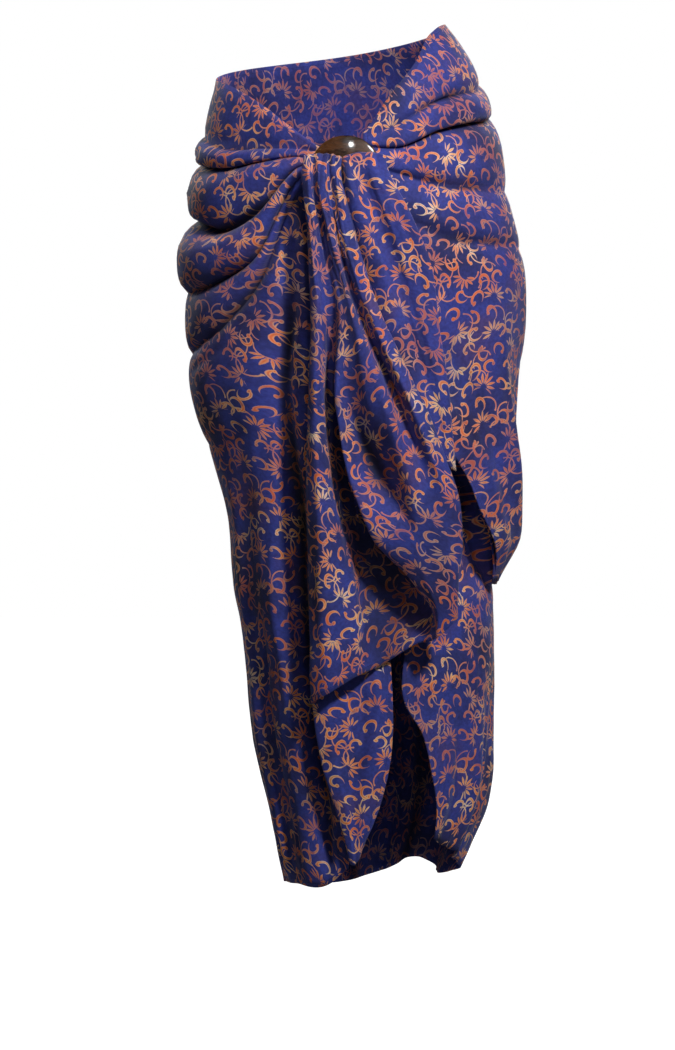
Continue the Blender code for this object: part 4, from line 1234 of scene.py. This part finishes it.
points, angles, girth, outs = wrapPoints()
# the mask for the shade painted into the wrap's folds
paintedShadeMask = foldDepth(outs, wrap["paintedShadeSpread"], wrap["paintedShadeLimits"])
pieces = {
    "wrap": clothPiece("sarongWrap", points, wrapFlat(points, angles, girth, outs), paintedShadeMask, (0, 1, 0),
                       wrap["thickness"], (batikFront, batikBack))
}
print("wrap made:", len(pieces["wrap"].data.polygons), "faces")
for name, fall in (("leftFall", leftFall), ("rightFall", rightFall), ("cornerFall", cornerFall)):
    points = fallPoints(fall)
    flat = gridFlat(points, fall["bias"], smooth=True)[0] + [0.031 * len(name), 0.017 * len(name)]
    # the mask for the shade painted into the fall's folds
    paintedShadeMask = foldDepth(-points[..., 1], fall["paintedShadeSpread"], fall["paintedShadeLimits"])
    pieces[name] = clothPiece(name, points, flat, paintedShadeMask, (0, -1, 0), fall["thickness"],
                              (batikFront, batikBack))
    print(name, "made:", len(pieces[name].data.polygons), "faces")
pieces["buckle"] = makeBuckle(coconut)
pieces["gatherLeft"] = makeGather("gatherLeft", -1, batikFront)
pieces["gatherRight"] = makeGather("gatherRight", 1, batikFront)
print("buckle and gathers made")

for key, nodes, slot in (
    ("wrap", ("wrap_left_front", "wrap_back", "wrap_right_front"), "cloth"),
    ("leftFall", ("left_fall",), "cloth"),
    ("rightFall", ("right_fall",), "cloth"),
    ("cornerFall", ("corner_fall",), "cloth"),
    ("buckle", ("coconut_buckle",), "shell"),
    ("gatherLeft", ("gather_left",), "cloth"),
    ("gatherRight", ("gather_right",), "cloth"),
):
    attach(pieces[key], "root")
    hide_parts(*nodes)

# The studio: pale floor and backdrop, soft light from the front right, the photograph's view
studio = {
    "cameraPlace": (0, -3.4, -0.36),
    "cameraTarget": (0, 0, -0.5115),
    "lens": 106.1,
    "floorHeight": -1.062,
    "lights": [  # name, place, target, size, watts, spread in degrees
        ("key", (1.32, -2.45, 1.74), (0, 0, -0.42), 0.42, 97, 180),
        ("fill", (-0.8, -3.6, 0.4), (0, 0, -0.5), 1.2, 2, 180),
        ("buckleGlint", (0.2, -2.15, 1.38), (0.01, -0.13, -0.11), 0.16, 0.24, 20),
        ("backRight", (1.3, 2.9, 1.2), (0, 0, -0.45), 0.9, 42, 180),
        ("backLeft", (-1.7, 2.6, 0.9), (0, 0, -0.45), 0.9, 34, 180),
    ],
    "ambient": 0.015,
    "floorColour": (0.22, 0.22, 0.22, 1),
    "floorRoughness": 0.9,
    "floorGlow": 1.0,
}


def makeStudio():
    bpy.ops.mesh.primitive_plane_add(size=12, location=(0, 0, studio["floorHeight"]))
    floor = bpy.context.object
    floor.name = "floor"
    pale = bpy.data.materials.new("paleFloor")
    pale.use_nodes = True
    tree = pale.node_tree
    shader = tree.nodes["Principled BSDF"]
    shader.inputs["Base Color"].default_value = studio["floorColour"]
    shader.inputs["Roughness"].default_value = studio["floorRoughness"]
    shader.inputs["Emission Color"].default_value = (1, 1, 1, 1)
    path = tree.nodes.new("ShaderNodeLightPath")
    glow = calc(tree, "MULTIPLY", path.outputs["Is Camera Ray"], studio["floorGlow"])
    wire(tree, shader.inputs["Emission Strength"], glow)
    floor.data.materials.append(pale)
    for name, place, target, size, watts, spread in studio["lights"]:
        lamp = bpy.data.lights.new(name, "AREA")
        lamp.shape, lamp.size, lamp.energy = "DISK", size, watts
        lamp.spread = math.radians(spread)
        light = bpy.data.objects.new(name, lamp)
        light.location = place
        light.rotation_euler = (Vector(target) - Vector(place)).to_track_quat("-Z", "Y").to_euler()
        bpy.context.scene.collection.objects.link(light)
    world = bpy.context.scene.world or bpy.data.worlds.new("studio")
    bpy.context.scene.world = world
    world.use_nodes = True
    tree = world.node_tree
    backdrop = tree.nodes["Background"]
    backdrop.inputs["Color"].default_value = (1, 1, 1, 1)
    path = tree.nodes.new("ShaderNodeLightPath")
    wire(tree, backdrop.inputs["Strength"],
         remap(tree, path.outputs["Is Camera Ray"], 0, 1, studio["ambient"], 1.0, smooth=False))
    camera = bpy.data.objects.new("camera", bpy.data.cameras.new("camera"))
    camera.data.sensor_width = 36
    camera.data.lens = studio["lens"]
    place, target = Vector(studio["cameraPlace"]), Vector(studio["cameraTarget"])
    camera.location = place
    camera.rotation_euler = (target - place).to_track_quat("-Z", "Y").to_euler()
    bpy.context.scene.collection.objects.link(camera)
    bpy.context.scene.camera = camera
    bpy.context.scene.view_settings.view_transform = "Standard"


makeStudio()
print("studio set")

for piece in pieces.values():
    piece.data.validate()
